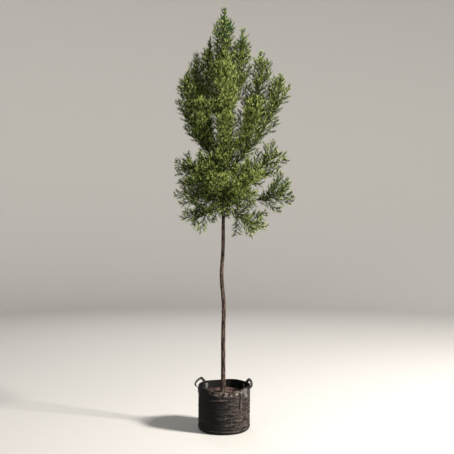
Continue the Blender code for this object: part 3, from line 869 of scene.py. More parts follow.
@dataclass(frozen=True)
class Boughs:
    """The bare boughs, and the stems that go on from them through the foliage.

    Attributes:
        trunk: The trunk that they grow from.
        sides: Points in each ring of a bough.
        step: Distance between its rings.
        stem_sides: Points in each ring of a stem.
        stem_step: Distance between the stem's rings.
        tip_share: Thickness at the end of a bough, as a share of its girth.
        collar: How much wider a limb is where it leaves the trunk.
        collar_length: Length over which the collar fades.
        root_share: The most of the trunk's thickness that a limb's root takes.
        stem_tip: Half the thickness of a stem's tip.
        stem_taper: Power of what is left of the stem by which it grows thinner.
        furrow: Depth of the bark's furrows.
        full_furrow: Half the thickness from which they have that depth.
        seed: Which noise the first limb's bark takes.
    """

    trunk: Trunk
    sides: int = 20
    step: float = 0.004
    stem_sides: int = 10
    stem_step: float = 0.008
    tip_share: float = 0.55
    collar: float = 0.45
    collar_length: float = 0.022
    root_share: float = 0.82
    stem_tip: float = 0.0009
    stem_taper: float = 0.8
    furrow: float = 0.0006
    full_furrow: float = 0.006
    seed: int = 31

    def build(self) -> list[bpy.types.Object]:
        """Builds every bare bough as a piece of its own, and all stems as one piece.

        Returns:
            The pieces.
        """
        pieces = []
        stems = []
        for seed, limb in enumerate(LIMBS, self.seed):
            if limb.bare > 0.0:
                shape = self._limb(limb, 0.0, limb.bare, self.sides, self.step, seed)
                pieces.append(shape.put(f"bark_{limb.name}", BARK, [f"bough_{limb.name}"]))
            stems.append(self._limb(limb, limb.bare, 1.0, self.stem_sides, self.stem_step, seed))
        pieces.append(joined(stems).put("crown_stems", BARK, MASSES))
        return pieces

    def _limb(self, limb: Limb, near: float, far: float, sides: int, step: float, seed: int) -> Shape:
        """A stretch of a limb as a tube of rings with furrowed bark.

        Its radius falls evenly over the bough, then by a power of what is left over the stem, and is wider
        at the collar by an exponential of the distance from the trunk.

        Args:
            limb: The limb.
            near: Share of its length where the stretch begins.
            far: Share of its length where it ends.
            sides: Points in each ring.
            step: Distance between rings.
            seed: Which noise its bark takes.

        Returns:
            The tube.
        """
        length = limb.length(self.trunk)
        count = max(4, round(length * (far - near) / step))
        path = limb.axis(self.trunk, near, far, count)
        share = np.linspace(near, far, count)
        if far < 1.0:
            radius = limb.girth / 2.0 * (1.0 - (1.0 - self.tip_share) * share / limb.bare)
        else:
            foot = limb.girth / 2.0 * (self.tip_share if limb.bare > 0.0 else 1.0)
            left = (1.0 - share) / (1.0 - limb.bare)
            radius = self.stem_tip + (foot - self.stem_tip) * left**self.stem_taper
        radius = radius * (1.0 + self.collar * np.exp(-share * length / self.collar_length))
        root = self.trunk.radius(np.array(min(limb.height, self.trunk.top)))
        radius = np.minimum(radius, self.root_share * root)
        angle = round_turn(sides)
        relief = FURROWS.relief(angle[None, :], (share * length)[:, None], radius[:, None], seed)
        proud = self.furrow * (relief - MEAN_RELIEF) * np.minimum(1.0, radius / self.full_furrow)[:, None]
        _, normal, binormal = (axes[0][:, None, :] for axes in frames_along(path[None]))
        turned = normal * np.cos(angle)[None, :, None] + binormal * np.sin(angle)[None, :, None]
        return closed_tube(path[:, None, :] + turned * (radius[:, None] + proud)[..., None], relief)


# Foliage


# Spots make needles lighter or darker partly as fresher growth and partly as painted light and shade.
@dataclass(frozen=True)
class Spot:
    """A place in the crown whose needles are fresher, deeper or bluer than the rest.

    Attributes:
        place: Its middle.
        size: How far it reaches.
        fresh_and_lit: How much lighter its needles are, partly fresher and partly painted light, or darker,
        as painted shade, if negative.
        blue: Share of its sprays that are blue-green.
    """

    place: tuple[float, float, float]
    size: float
    fresh_and_lit: float
    blue: float = 0.0


@dataclass
class Twigs:
    """Twigs of one order.

    Attributes:
        paths: Their axes, K by N by 3, the points of each evenly spaced.
        limb: The number of the limb that each belongs to.
        outer: How far out each stands on its plume and its side twig, from 0 to 1.
    """

    paths: Array
    limb: Array
    outer: Array

    def keep(self, chosen: Array) -> "Twigs":
        """Only the chosen twigs."""
        return Twigs(self.paths[chosen], self.limb[chosen], self.outer[chosen])

    def tubes(self, foot: float, tip: float, sides: int) -> Shape:
        """Every twig as a tapering tube that ends in a point.

        Args:
            foot: Half the thickness at the foot.
            tip: Half the thickness one point before the tip.
            sides: Points in each ring.

        Returns:
            One shape of triangles.
        """
        count, points = self.paths.shape[:2]
        _, normal, binormal = frames_along(self.paths)
        angle = round_turn(sides)[:, None]
        turned = normal[:, :-1, None] * np.cos(angle) + binormal[:, :-1, None] * np.sin(angle)
        radius = np.linspace(foot, tip, points - 1)[None, :, None, None]
        rings = self.paths[:, :-1, None] + turned * radius
        places = np.concatenate((rings.reshape(count, -1, 3), self.paths[:, -1:]), axis=1)
        side = np.arange(sides)
        after = (side + 1) % sides
        faces = []
        for ring in range(points - 2):
            near, far = ring * sides, (ring + 1) * sides
            faces.append(np.stack((near + side, near + after, far + after), axis=-1))
            faces.append(np.stack((near + side, far + after, far + side), axis=-1))
        last = (points - 2) * sides
        faces.append(np.stack((last + side, last + after, np.full(sides, (points - 1) * sides)), axis=-1))
        return Shape(places.reshape(-1, 3), copies(np.concatenate(faces), count, places.shape[1]))


def together(parts: list[Twigs]) -> Twigs:
    """Several sets of twigs, with as many points on each axis, as one set."""
    paths, limbs, outers = zip(*((part.paths, part.limb, part.outer) for part in parts))
    return Twigs(np.concatenate(paths), np.concatenate(limbs), np.concatenate(outers))


@dataclass(frozen=True)
class Branching:
    """How the twigs of one order stand on those of the order before.

    Attributes:
        spacing: Distance between twigs along their parent.
        first: Share of the parent's length where they begin.
        span: Share of the parent's length that they take up.
        length: Their full length.
        opening: Degrees between twig and parent.
        lift: How strongly they turn up.
        points: Points on each twig's axis.
        foot_share: Share of the full length that they have at the parent's foot.
        foot_gain: How fast that share grows with the place on the parent, up to 1.
        tip_loss: Share of the length that is lost evenly from foot to tip.
        shift: Range of a twig's place on its own stretch of the parent.
        sway: How far its turn strays, in radians.
        stray: How far its opening strays, in degrees.
        scale: Range of its length, as a share.
    """

    spacing: float
    first: float
    span: float
    length: float
    opening: float
    lift: float
    points: int
    foot_share: float = 0.60
    foot_gain: float = 1.3
    tip_loss: float = 0.66
    shift: Pair = (0.1, 0.9)
    sway: float = 0.4
    stray: float = 9.0
    scale: Pair = (0.75, 1.2)

    def grow(self, parents: Twigs, rng: np.random.Generator) -> Twigs:
        """Twigs on every parent, each turned on from the one before by the golden angle.

        Their length follows the envelope of a plume: longest low down, shorter at the foot and the tip.

        Args:
            parents: The twigs that they stand on.
            rng: The source of their small differences.

        Returns:
            The new twigs.
        """
        lengths = path_length(parents.paths)
        counts = np.maximum(1, np.round(lengths * self.span / self.spacing).astype(int))
        parent = np.repeat(np.arange(len(counts)), counts)
        number = np.arange(len(parent)) - np.repeat(np.cumsum(counts) - counts, counts)
        place = self.first + self.span * (number + rng.uniform(*self.shift, len(parent))) / counts[parent]
        turn = number * GOLDEN_ANGLE + rng.uniform(*ANY_TURN, len(counts))[parent]
        turn = turn + rng.uniform(-self.sway, self.sway, len(parent))
        opening = np.radians(self.opening + rng.uniform(-self.stray, self.stray, len(parent)))
        envelope = np.minimum(1.0, self.foot_share + self.foot_gain * place) * (1.0 - self.tip_loss * place)
        length = self.length * envelope * rng.uniform(*self.scale, len(parent))
        root, heading = leave(parents.paths, parent, place, turn, opening)
        outer = 0.5 * parents.outer[parent] + 0.5 * place
        return Twigs(walk(root, heading, length, self.lift, self.points), parents.limb[parent], outer)


def leave(paths: Array, parent: Array, place: Array, turn: Array, opening: Array) -> tuple[Array, Array]:
    """Where side twigs leave their parents, and their first headings.

    Args:
        paths: The parents' axes, K by N by 3.
        parent: Each side twig's parent.
        place: Its share of the way along the parent.
        turn: Its angle round the parent.
        opening: The angle between it and the parent.

    Returns:
        Roots and unit headings.
    """
    spot = place * (paths.shape[1] - 1)
    index = np.minimum(spot.astype(int), paths.shape[1] - 2)
    share = (spot - index)[:, None]
    root = paths[parent, index] * (1.0 - share) + paths[parent, index + 1] * share
    tangent, normal, binormal = (axes[parent, index] for axes in frames_along(paths))
    outward = normal * np.cos(turn)[:, None] + binormal * np.sin(turn)[:, None]
    return root, tangent * np.cos(opening)[:, None] + outward * np.sin(opening)[:, None]


def walk(root: Array, heading: Array, length: Array, lift: float, points: int) -> Array:
    """Paths that set out from their roots and turn up a little at every step.

    Args:
        root: First points, K by 3.
        heading: First headings.
        length: Lengths.
        lift: How much of the upward direction is added over the whole path.
        points: Points on each path.

    Returns:
        K by points by 3.
    """
    steps = points - 1
    path = [root]
    for _ in range(steps):
        heading = unit(heading + UP * (lift / steps))
        path.append(path[-1] + heading * (length / steps)[:, None])
    return np.stack(path, axis=1)


@dataclass(frozen=True)
class Needles:
    """How needles stand on a twig.

    Attributes:
        count: Needles on each twig.
        length: Length of a needle.
        width: Its width.
        opening: Degrees between needle and twig.
        fold: How far its edges rise, as a share of its width.
        widest: Where along its length it is widest, as a share.
        first: Share of the twig before the first needle.
        shift: How far a needle's place strays on its own stretch of the twig.
        fan: Share of the opening at the twig's foot, and how much of it is lost towards the tip.
        stray: How far a needle's opening strays, in degrees.
        tip_loss: Share of the length that needles lose towards the twig's tip.
        scale: Range of a needle's length, as a share.
    """

    count: int
    length: float
    width: float
    opening: float
    fold: float = 0.22
    widest: float = 0.42
    first: float = 0.02
    shift: float = 0.6
    fan: Pair = (1.15, 0.75)
    stray: float = 8.0
    tip_loss: float = 0.30
    scale: Pair = (0.75, 1.25)

    def grow(self, parents: Twigs, rng: np.random.Generator) -> Shape:
        """Slender needles along each twig, each a kite folded along its middle into two triangles.

        Args:
            parents: The twigs.
            rng: The source of small differences.

        Returns:
            One shape of triangles.
        """
        size = (len(parents.paths), self.count)
        step = np.arange(self.count) + rng.uniform(0.0, self.shift, size)
        place = self.first + (1.0 - self.first) * step / self.count
        turn = np.arange(self.count) * GOLDEN_ANGLE + rng.uniform(*ANY_TURN, (size[0], 1))
        opening = self.opening * (self.fan[0] - self.fan[1] * place)
        opening = np.radians(opening + rng.uniform(-self.stray, self.stray, size))
        length = self.length * (1.0 - self.tip_loss * place) * rng.uniform(*self.scale, size)
        parent = np.repeat(np.arange(size[0]), self.count)
        root, heading = leave(parents.paths, parent, place.ravel(), turn.ravel(), opening.ravel())
        along = parents.paths[parent, -1] - parents.paths[parent, 0]
        across = unit(np.cross(heading, along + NUDGE))
        long = length.ravel()[:, None]
        wide = self.width * np.sqrt(long / self.length)
        middle = root + heading * long * self.widest + np.cross(across, heading) * wide * self.fold
        left, right = middle - across * wide / 2.0, middle + across * wide / 2.0
        points = np.stack((root, right, root + heading * long, left), axis=1).reshape(-1, 3)
        return Shape(points, copies(np.array(((0, 1, 2), (0, 2, 3))), len(root), 4))


@dataclass(frozen=True)
class Foliage:
    """Plumes, side twigs, shoots and needles, grown on from every limb.

    Attributes:
        trunk: The trunk, which no twig passes through.
        box: Lowest and highest corner of the solids.
        seed: Seed of all small differences.
        stem_points: Points on each stem.
        plume_points: Points on each plume.
        first_plume: Share of the stem where side plumes begin.
        plume_span: Share of the stem that they take up.
        bough_foot: Share of a bare bough before its first side twigs.
        side_twigs: How side twigs stand on stems and plumes.
        bough_twigs: How they stand on boughs.
        shoots: How shoots stand on stems and side twigs.
        tip_shoot: Length of the shoot that ends each twig.
        needles: How needles stand on shoots.
        shade_needles: How the dark needles of painted shade inside the crown stand on side twigs.
        margin: How far a twig may stand out of the solids' box.
        trunk_gap: How far every twig keeps from the trunk.
        plume_hump: Share of a plume's length at the stem's foot, factor of the parabola, and least share.
        plume_shift: Range of a plume's place on its own stretch of the stem.
        plume_sway: How far its turn strays, in radians.
        plume_stray: How far its opening strays, in degrees.
        plume_scale: Range of its length, as a share.
        plume_girth: Half its thickness at its foot and near its tip.
        side_girth: The same of a side twig.
        shoot_girth: The same of a shoot.
        tip_root: How far back in its twig the shoot at the twig's tip begins.
        tip_lift: How strongly that shoot turns up.
        tip_scale: Range of its length, as a share.
        tip_share: How much of its place outwards comes from its twig's; the rest is full.
        stem_outer: How far out the shoots on stems count as standing.
        bough_outer: The same of the side twigs on boughs.
        outer_fresh_and_lit: How much lighter needles are on the outside of a plume than on its inside, partly
            as fresh tips and partly as painted shade inside the crown.
        glow_middle: The place outwards where they are neither lighter nor darker.
        glow_patch: Strength, size and seed of the noise in their lightness.
        glow_stray: How far each shoot's own lightness strays.
        spots: Places with needles of another green, the lighter ones partly painted light.
        steps: Where along the lightness one tint gives way to the next.
    """

    trunk: Trunk
    box: list[list[float]]
    seed: int = 106
    stem_points: int = 41
    plume_points: int = 9
    first_plume: float = 0.08
    plume_span: float = 0.81
    bough_foot: float = 0.12
    side_twigs: Branching = Branching(0.0115, 0.05, 0.93, 0.078, 41.0, 0.25, 5)
    bough_twigs: Branching = Branching(0.0100, 0.03, 0.96, 0.130, 50.0, 0.25, 5)
    shoots: Branching = Branching(0.0061, 0.10, 0.88, 0.029, 35.0, 0.20, 2)
    tip_shoot: float = 0.021
    needles: Needles = Needles(8, 0.0108, 0.0034, 18.0)
    shade_needles: Needles = Needles(14, 0.0150, 0.0052, 42.0)
    margin: float = 0.006
    trunk_gap: float = 0.001
    plume_hump: tuple[float, float, float] = (0.62, 1.6, 0.08)
    plume_shift: Pair = (0.2, 0.8)
    plume_sway: float = 0.3
    plume_stray: float = 7.0
    plume_scale: Pair = (0.85, 1.15)
    plume_girth: Pair = (0.0017, 0.0007)
    side_girth: Pair = (0.0011, 0.0005)
    shoot_girth: Pair = (0.0007, 0.0005)
    tip_root: float = 0.004
    tip_lift: float = 0.1
    tip_scale: Pair = (0.8, 1.2)
    tip_share: float = 0.65
    stem_outer: float = 0.6
    bough_outer: float = 0.5
    outer_fresh_and_lit: float = 1.3
    glow_middle: float = 0.50
    glow_patch: tuple[float, float, int] = (0.30, 0.07, 71)
    glow_stray: float = 0.66
    spots: tuple[Spot, ...] = (
        Spot((0.02, -0.12, 2.45), 0.20, 0.65),
        Spot((0.08, -0.16, 2.12), 0.12, 0.70),
        Spot((-0.01, -0.26, 1.82), 0.10, 0.85),
        Spot((0.23, -0.18, 1.76), 0.11, 0.75),
        Spot((0.02, 0.0, 2.96), 0.10, 0.20, 0.45),
        Spot((0.15, 0.0, 2.92), 0.09, 0.10, 0.50),
        Spot((-0.19, -0.10, 1.86), 0.12, 0.0, 0.40),
        Spot((0.42, -0.04, 1.78), 0.10, 0.10, 0.55),
        Spot((-0.17, 0.0, 1.62), 0.12, -0.20, 0.35),
    )
    steps: tuple[float, ...] = (-0.58, -0.08, 0.32, 0.74)

    def build(self) -> list[bpy.types.Object]:
        """Grows each order on the one before, and makes a piece of each kind.

        Returns:
            The pieces: twigs, shoots, and needles of each tint.
        """
        rng = np.random.default_rng(self.seed)
        stems = self._stems()
        plumes = self._plumes(stems, rng)
        grown = [self.side_twigs.grow(order, rng) for order in (stems, plumes)]
        side = self._clear(together(grown + [self.bough_twigs.grow(self._bough_ends(), rng)]))
        grown = [self.shoots.grow(order, rng) for order in (stems, side)]
        grown += [self._tips(order, rng) for order in (stems, plumes, side)]
        shoots = self._clear(together(grown))
        twigs = joined([plumes.tubes(*self.plume_girth, 4), side.tubes(*self.side_girth, 3)])
        pieces = [twigs.put("crown_twigs", TWIG, MASSES)]
        pieces.append(shoots.tubes(*self.shoot_girth, 3).put("crown_shoots", SHOOT, MASSES))
        # Dark needles along every side twig: painted shade inside the crown.
        inner_shade = self.shade_needles.grow(side, rng)
        pieces.append(inner_shade.put("needles_old", Tint.SHADE.finish(), MASSES, smooth=False))
        return pieces + self._needle_pieces(shoots, rng)

    def _stems(self) -> Twigs:
        """The stem of every limb, from the end of its bough to its tip."""
        paths = [limb.axis(self.trunk, limb.bare, 1.0, self.stem_points) for limb in LIMBS]
        return Twigs(np.stack(paths), np.arange(len(LIMBS)), np.full(len(LIMBS), self.stem_outer))

    def _bough_ends(self) -> Twigs:
        """The part of every bare bough on which side twigs stand.

        Returns:
            The boughs' axes from a little past the trunk to the foot of the stem.
        """
        bare = [number for number, limb in enumerate(LIMBS) if limb.bare > 0.0]
        paths = []
        for number in bare:
            end = LIMBS[number].bare
            paths.append(LIMBS[number].axis(self.trunk, self.bough_foot * end, end, self.stem_points))
        return Twigs(np.stack(paths), np.array(bare), np.full(len(bare), self.bough_outer))

    def _plumes(self, stems: Twigs, rng: np.random.Generator) -> Twigs:
        """The side plumes of every stem, by the tier of its limb.

        A plume's length is a hump of its place on the stem: a share at the foot, plus a parabola, less a
        power of the place, and never less than a stub.

        Args:
            stems: The stems.
            rng: The source of small differences.

        Returns:
            The plumes.
        """
        grown = []
        foot, rise, least = self.plume_hump
        for number, limb in enumerate(LIMBS):
            tier = limb.tier
            count = round(tier.plumes * tier.fullness * limb.length(self.trunk) * (1.0 - limb.bare))
            index = np.arange(count)
            step = index + rng.uniform(*self.plume_shift, count)
            place = self.first_plume + self.plume_span * step / count
            turn = index * GOLDEN_ANGLE + math.radians(limb.heading)
            turn = turn + rng.uniform(-self.plume_sway, self.plume_sway, count)
            opening = tier.opening - tier.closing * place
            opening = np.radians(opening + rng.uniform(-self.plume_stray, self.plume_stray, count))
            hump = foot + rise * place * (1.0 - place) - tier.tip_loss * place**tier.tip_power
            length = tier.length * rng.uniform(*self.plume_scale, count) * np.maximum(least, hump)
            root, heading = leave(stems.paths, np.full(count, number), place, turn, opening)
            paths = walk(root, heading, length, tier.lift, self.plume_points)
            grown.append(Twigs(paths, np.full(count, number), place))
        return together(grown)

    def _tips(self, twigs: Twigs, rng: np.random.Generator) -> Twigs:
        """A shoot that goes on from the tip of every twig.

        Args:
            twigs: The twigs.
            rng: The source of small differences.

        Returns:
            The shoots.
        """
        heading = unit(twigs.paths[:, -1] - twigs.paths[:, -2])
        length = self.tip_shoot * rng.uniform(*self.tip_scale, len(heading))
        root = twigs.paths[:, -1] - heading * self.tip_root
        paths = walk(root, heading, length, self.tip_lift, self.shoots.points)
        return Twigs(paths, twigs.limb, (1.0 - self.tip_share) + self.tip_share * twigs.outer)

    def _clear(self, twigs: Twigs) -> Twigs:
        """Only the twigs that keep out of the trunk and inside the solids' box.

        Args:
            twigs: The twigs.

        Returns:
            Those whose every point past the first is free, and whose every point is inside.
        """
        low, high = np.array(self.box)
        flat = twigs.paths.reshape(-1, 3)
        off = np.linalg.norm((flat - self.trunk.centre(flat[:, 2]))[:, :2], axis=1)
        free = (off > self.trunk.radius(flat[:, 2]) + self.trunk_gap) | (flat[:, 2] > self.trunk.top)
        free[::twigs.paths.shape[1]] = True
        inside = np.all((flat > low - self.margin) & (flat < high + self.margin), axis=1)
        return twigs.keep(np.all((free & inside).reshape(len(twigs.paths), -1), axis=1))

    def _needle_pieces(self, shoots: Twigs, rng: np.random.Generator) -> list[bpy.types.Object]:
        """The needles of every shoot, in pieces by tint.

        Args:
            shoots: The shoots.
            rng: The source of small differences.

        Returns:
            The pieces, split so that each has about MOST_TRIANGLES triangles at most.
        """
        tints = self._tints(shoots, rng)
        pieces = []
        for number, tint in enumerate(Tint):
            chosen = np.flatnonzero(tints == number)
            parts = max(1, math.ceil(len(chosen) * self.needles.count * 2 / MOST_TRIANGLES))
            for part, some in enumerate(np.array_split(chosen, parts)):
                name = f"needles_{tint.name.lower()}" + (f"_{part + 1}" if parts > 1 else "")
                shape = self.needles.grow(shoots.keep(some), rng)
                pieces.append(shape.put(name, tint.finish(), MASSES, smooth=False))
        return pieces

    def _tints(self, shoots: Twigs, rng: np.random.Generator) -> Array:
        """The number of each shoot's tint.

        A shoot's lightness is its limb's, plus its spot's, plus more the further out it stands, plus a noise
        that changes over a hand's width and a small difference of its own. It stands partly for fresh needles
        and
        partly for painted light and shade: darker inside the crown, lighter at the tips and in lit spots.

        Args:
            shoots: The shoots.
            rng: The source of small differences.

        Returns:
            One number for each shoot.
        """
        place = shoots.paths[:, 0]
        strength, size, seed = self.glow_patch
        fresh_and_lit = np.array([limb.fresh_and_lit for limb in LIMBS])[shoots.limb]
        # Outer shoots lighter, inner ones darker: partly fresh tips, partly painted shade inside the crown.
        fresh_and_lit = fresh_and_lit + self.outer_fresh_and_lit * (shoots.outer - self.glow_middle)
        fresh_and_lit = fresh_and_lit + strength * lattice_noise(place / size, seed)
        fresh_and_lit = fresh_and_lit + rng.normal(0.0, self.glow_stray, len(place))
        blue = np.zeros(len(place))
        for spot in self.spots:
            share = bell(np.linalg.norm(place - np.array(spot.place), axis=1), spot.size)
            fresh_and_lit = fresh_and_lit + spot.fresh_and_lit * share
            blue = blue + spot.blue * share
        tints = np.searchsorted(np.array(self.steps), fresh_and_lit)
        is_blue = (rng.uniform(0.0, 1.0, len(place)) < blue) & (tints > 0)
        return np.where(is_blue, list(Tint).index(Tint.BLUE), tints)


# Pot, soil and handles


@dataclass(frozen=True)
class FabricPot:
    """A round pot of black felt: a flat underside, a crumpled wall, a turned hem and a sewn foot seam.

    Attributes:
        radius: Radius of the wall.
        height: Height of the rim before it waves and sags.
        wall: Thickness of the felt.
        foot_round: Radius of the rounded foot.
        bulges: Depth, count round the pot and turn with height of each bulge.
        waves: Height, count round the pot and start of each wave of the rim.
        sag: How far the rim sags at the front.
        lean: How far the wall leans in at the front of the rim.
        lean_depth: How far down it leans.
        columns: Points round the pot.
        wall_rows: Rows of points on the outer wall.
        hem: Height of the turned hem.
        hem_thickness: How far the hem stands proud.
        stitch_rise: Height of the stitches above the hem's lower edge.
        seam_height: Height of the seam above the foot.
        slack_side: Angle where the wall is wrinkled most, and where its relief paints it lightest.
        crushed_side: Angle where the hem is crushed, with a grey painted highlight on its dents.
        crease_angle: Angle of the upright crease beside the right handle.
        upright: That crease and the hollow beside it.
        upright_foot: Height where it begins, and over which it grows.
        upright_sway: How far it sways round the pot, and how fast with height.
        fold: A level crease and the hollow under it, their heights as shares of its depth.
        fold_turn: How fast it rises and falls round the pot.
        wander: How far it wanders up and down, and size and seed of the noise by which it does.
        wrinkles: Size, seed, least height and height added on the slack side of each kind of wrinkles.
        flatness: How much longer wrinkles are round the pot than up it.
        mean_fold: The folded noise that lies level with the wall.
        seam: The foot seam and the groove above it.
        puckers: Depth and count round the pot of the puckers along the seam.
        felt_relief: The wall's plain relief, the painted light that the slack side adds, how far out counts
        as 1, the most.
        hem_edge: Height over which the hem steps out.
        gathers: Depth and count round the pot of its gathers, and how far and how often they are uneven.
        stitch_groove: Depth and width of the groove along its stitches.
        crush: How strongly and how far round it is crushed.
        dents: Height, size, flatness and seed of the dents where it is crushed.
        dent_highlight: How strongly the crushed dents take a painted highlight, and the noise from which they
            do.
        fold_spread: How far round the front of the rim folds.
        fold_reach: How far down from the rim.
        inward_folds: Depth, count in a radian and start of each fold inwards.
        down_folds: The same of each fold downwards.
        skin_relief: Relief of the underside and the inside, and of the rim's edge, which is a painted
            highlight.
        inside: Height of the floor inside, and the innermost ring of floor and underside as a share.
        stitches: How many stitches the hem has.
        stitch: Length, rise out of the felt and half the thickness of each.
        creases: Height, middle angle, half width as an angle, depth and rise of each level crease.
    """

    radius: float = 0.190
    height: float = 0.322
    wall: float = 0.004
    foot_round: float = 0.016
    bulges: tuple = ((0.0018, 3.0, 9.0), (0.0014, 5.0, -14.0))
    waves: tuple = ((0.0031, 2.0, 0.6), (0.0019, 5.0, 2.0))
    sag: float = 0.022
    lean: float = 0.014
    lean_depth: float = 0.060
    columns: int = 360
    wall_rows: int = 120
    hem: float = 0.028
    hem_thickness: float = 0.0014
    stitch_rise: float = 0.0050
    seam_height: float = 0.024
    slack_side: float = -0.70
    crushed_side: float = -1.45
    crease_angle: float = -0.86
    upright: Ridge = Ridge(0.0042, 0.0055, 0.0046, 0.0050, 0.010)
    upright_foot: Pair = (0.13, 0.08)
    upright_sway: Pair = (0.004, 40.0)
    fold: Ridge = Ridge(1.0, 0.0050, 0.8, 0.0045, 0.009)
    fold_turn: float = 4.0
    wander: tuple[float, float, int] = (0.003, 0.025, 17)
    wrinkles: tuple = ((0.036, 3, 0.0010, 0.0036), (0.015, 8, 0.0005, 0.0020))
    flatness: float = 3.2
    mean_fold: float = 0.55
    seam: Ridge = Ridge(0.0026, 0.0030, 0.0018, 0.0030, -0.0070)
    puckers: Pair = (0.35, 74.0)
    felt_relief: Four = (0.10, 0.38, 0.0068, 0.85)
    hem_edge: float = 0.0008
    gathers: Four = (0.30, 52.0, 3.0, 7.0)
    stitch_groove: Pair = (0.0012, 0.0014)
    crush: Pair = (1.9, 0.64)
    dents: tuple[float, float, float, int] = (0.0038, 0.014, 1.3, 41)
    dent_highlight: Pair = (2.6, 0.42)
    fold_spread: float = 0.60
    fold_reach: float = 0.050
    inward_folds: tuple = ((0.0065, 17.0, 0.0), (0.0034, 31.0, 1.0))
    down_folds: tuple = ((0.0048, 13.0, 0.8), (0.0030, 37.0, 0.0))
    skin_relief: Pair = (0.20, 0.62)
    inside: Pair = (0.006, 0.12)
    stitches: int = 170
    stitch: tuple[float, float, float] = (0.0040, 0.0006, 0.0007)
    creases: tuple = (
        (0.246, -1.72, 0.34, 0.0042, 0.004),
        (0.214, -1.20, 0.24, 0.0020, -0.008),
        (0.186, -0.95, 0.22, 0.0018, 0.010),
        (0.150, -1.35, 0.26, 0.0020, -0.006),
        (0.118, -1.45, 0.32, 0.0028, 0.008),
        (0.098, -1.05, 0.26, 0.0022, -0.010),
        (0.070, -1.35, 0.32, 0.0026, 0.006),
        (0.052, -0.80, 0.28, 0.0024, -0.006),
        (0.220, 1.30, 0.50, 0.0032, 0.006),
        (0.140, 1.90, 0.45, 0.0030, -0.008),
        (0.090, 1.10, 0.50, 0.0032, 0.008),
        (0.180, 2.90, 0.50, 0.0028, -0.006),
        (0.080, -2.60, 0.45, 0.0028, 0.006),
        (0.130, 0.20, 0.40, 0.0026, 0.006),
        (0.200, 0.35, 0.35, 0.0024, -0.006),
    )

    def outside(self, angle: Array, height: Array) -> Array:
        """Radius of the outer face: a circle, plus sines round it that turn with height, less lean and foot.

        Args:
            angle: Angles round the pot.
            height: Heights.

        Returns:
            The radius at each.
        """
        bulge = 0.0
        for depth, count, turn in self.bulges:
            bulge = bulge + depth * np.sin(count * angle + turn * height)
        front = np.maximum(0.0, -np.sin(angle)) ** 2
        lean = self.lean * front * np.maximum(0.0, 1.0 - (self.height - height) / self.lean_depth)
        foot = np.clip(height / self.foot_round, 0.0, 1.0)
        rounding = self.foot_round * (1.0 - np.sqrt(1.0 - (1.0 - foot) ** 2))
        return self.radius + bulge * foot - lean - rounding

    def rim(self, angle: Array) -> Array:
        """Height of the rim: a level line, plus sines round it, less a sag at the front.

        Args:
            angle: Angles round the pot.

        Returns:
            The height at each.
        """
        wave = 0.0
        for height, count, start in self.waves:
            wave = wave + height * np.sin(count * angle + start)
        return self.height + wave - self.sag * np.maximum(0.0, -np.sin(angle)) ** 4

    def crumple(self, angle: Array, height: Array) -> tuple[Array, Array]:
        """How far the felt stands out, and its relief from 0 to 1.

        It is the sum of folded noise longer round the pot than up it, level creases as ridges of the height
        within bell curves of the angle, an upright crease, the foot seam with its puckers, and the hem.

        Args:
            angle: Angle round the pot.
            height: Height.

        Returns:
            The distance out, and the relief with its painted light and shade.
        """
        places = turned_places(angle, np.array(self.radius), height * self.flatness)
        slack = (0.5 + 0.5 * np.cos(turn_between(angle, self.slack_side))) ** 3
        proud = 0.0
        for size, seed, least, added in self.wrinkles:
            proud = proud + (least + added * slack) * (folded_noise(places / size, seed) - self.mean_fold)
        reach, size, seed = self.wander
        wander = reach * lattice_noise(places / size, seed)
        for level, middle, half, depth, rise in self.creases:
            off = turn_between(angle, middle)
            above = height - level - rise * np.sin(off * self.fold_turn) - wander
            proud = proud + depth * bell(off, half) * self.fold.across(above)
        sway, speed = self.upright_sway
        off = turn_between(angle, self.crease_angle) * self.radius + sway * np.sin(height * speed)
        grown = np.clip((height - self.upright_foot[0]) / self.upright_foot[1], 0.0, 1.0)
        proud = proud + grown * self.upright.across(off)
        pucker = 1.0 + self.puckers[0] * np.sin(angle * self.puckers[1])
        proud = proud + pucker * self.seam.across(height - self.seam_height)
        plain, slack_light, full, most = self.felt_relief
        # The relief paints light on ridges and on the slack side, and shade in the creases.
        relief = np.clip(plain + slack_light * slack + proud / full, 0.0, most)
        out, worn = self._turned_hem(angle, height)
        return proud + out, relief + worn

    def _turned_hem(self, angle: Array, height: Array) -> tuple[Array, Array]:
        """The hem: a smooth step out, a gathered groove along its stitches, and dents where it is crushed.

        Args:
            angle: Angle round the pot.
            height: Height.

        Returns:
            How far it stands out, and the painted highlight that its dents add to the relief.
        """
        below_rim = self.rim(angle) - height
        step = 1.0 / (1.0 + np.exp((below_rim - self.hem) / self.hem_edge))
        depth, count, uneven, often = self.gathers
        gather = 1.0 + depth * np.sin(angle * count + uneven * np.sin(angle * often))
        strength, spread = self.crush
        crushed = step * np.minimum(1.0, strength * bell(turn_between(angle, self.crushed_side), spread))
        dent, size, flatness, seed = self.dents
        dents = folded_noise(turned_places(angle, np.array(self.radius), height * flatness) / size, seed)
        out = self.hem_thickness * step + dent * crushed * (dents - self.mean_fold)
        groove, width = self.stitch_groove
        out = out - groove * gather * bell(below_rim - self.hem + self.stitch_rise, width)
        # The dents' share of the relief is a painted highlight of grey.
        return out, crushed * np.clip(self.dent_highlight[0] * (dents - self.dent_highlight[1]), 0.0, 1.0)

    def front_folds(self, angle: Array) -> tuple[Array, Array]:
        """How the rim's felt folds at the front: sines of the angle within a bell curve.

        Args:
            angle: Angles round the pot.

        Returns:
            How far the rim moves in, and how far down.
        """
        off = turn_between(angle, self.crushed_side)
        fade = bell(off, self.fold_spread)
        moves = []
        for folds in (self.inward_folds, self.down_folds):
            moves.append(sum(depth * fade * np.sin(off * count + start) for depth, count, start in folds))
        return moves[0], moves[1]

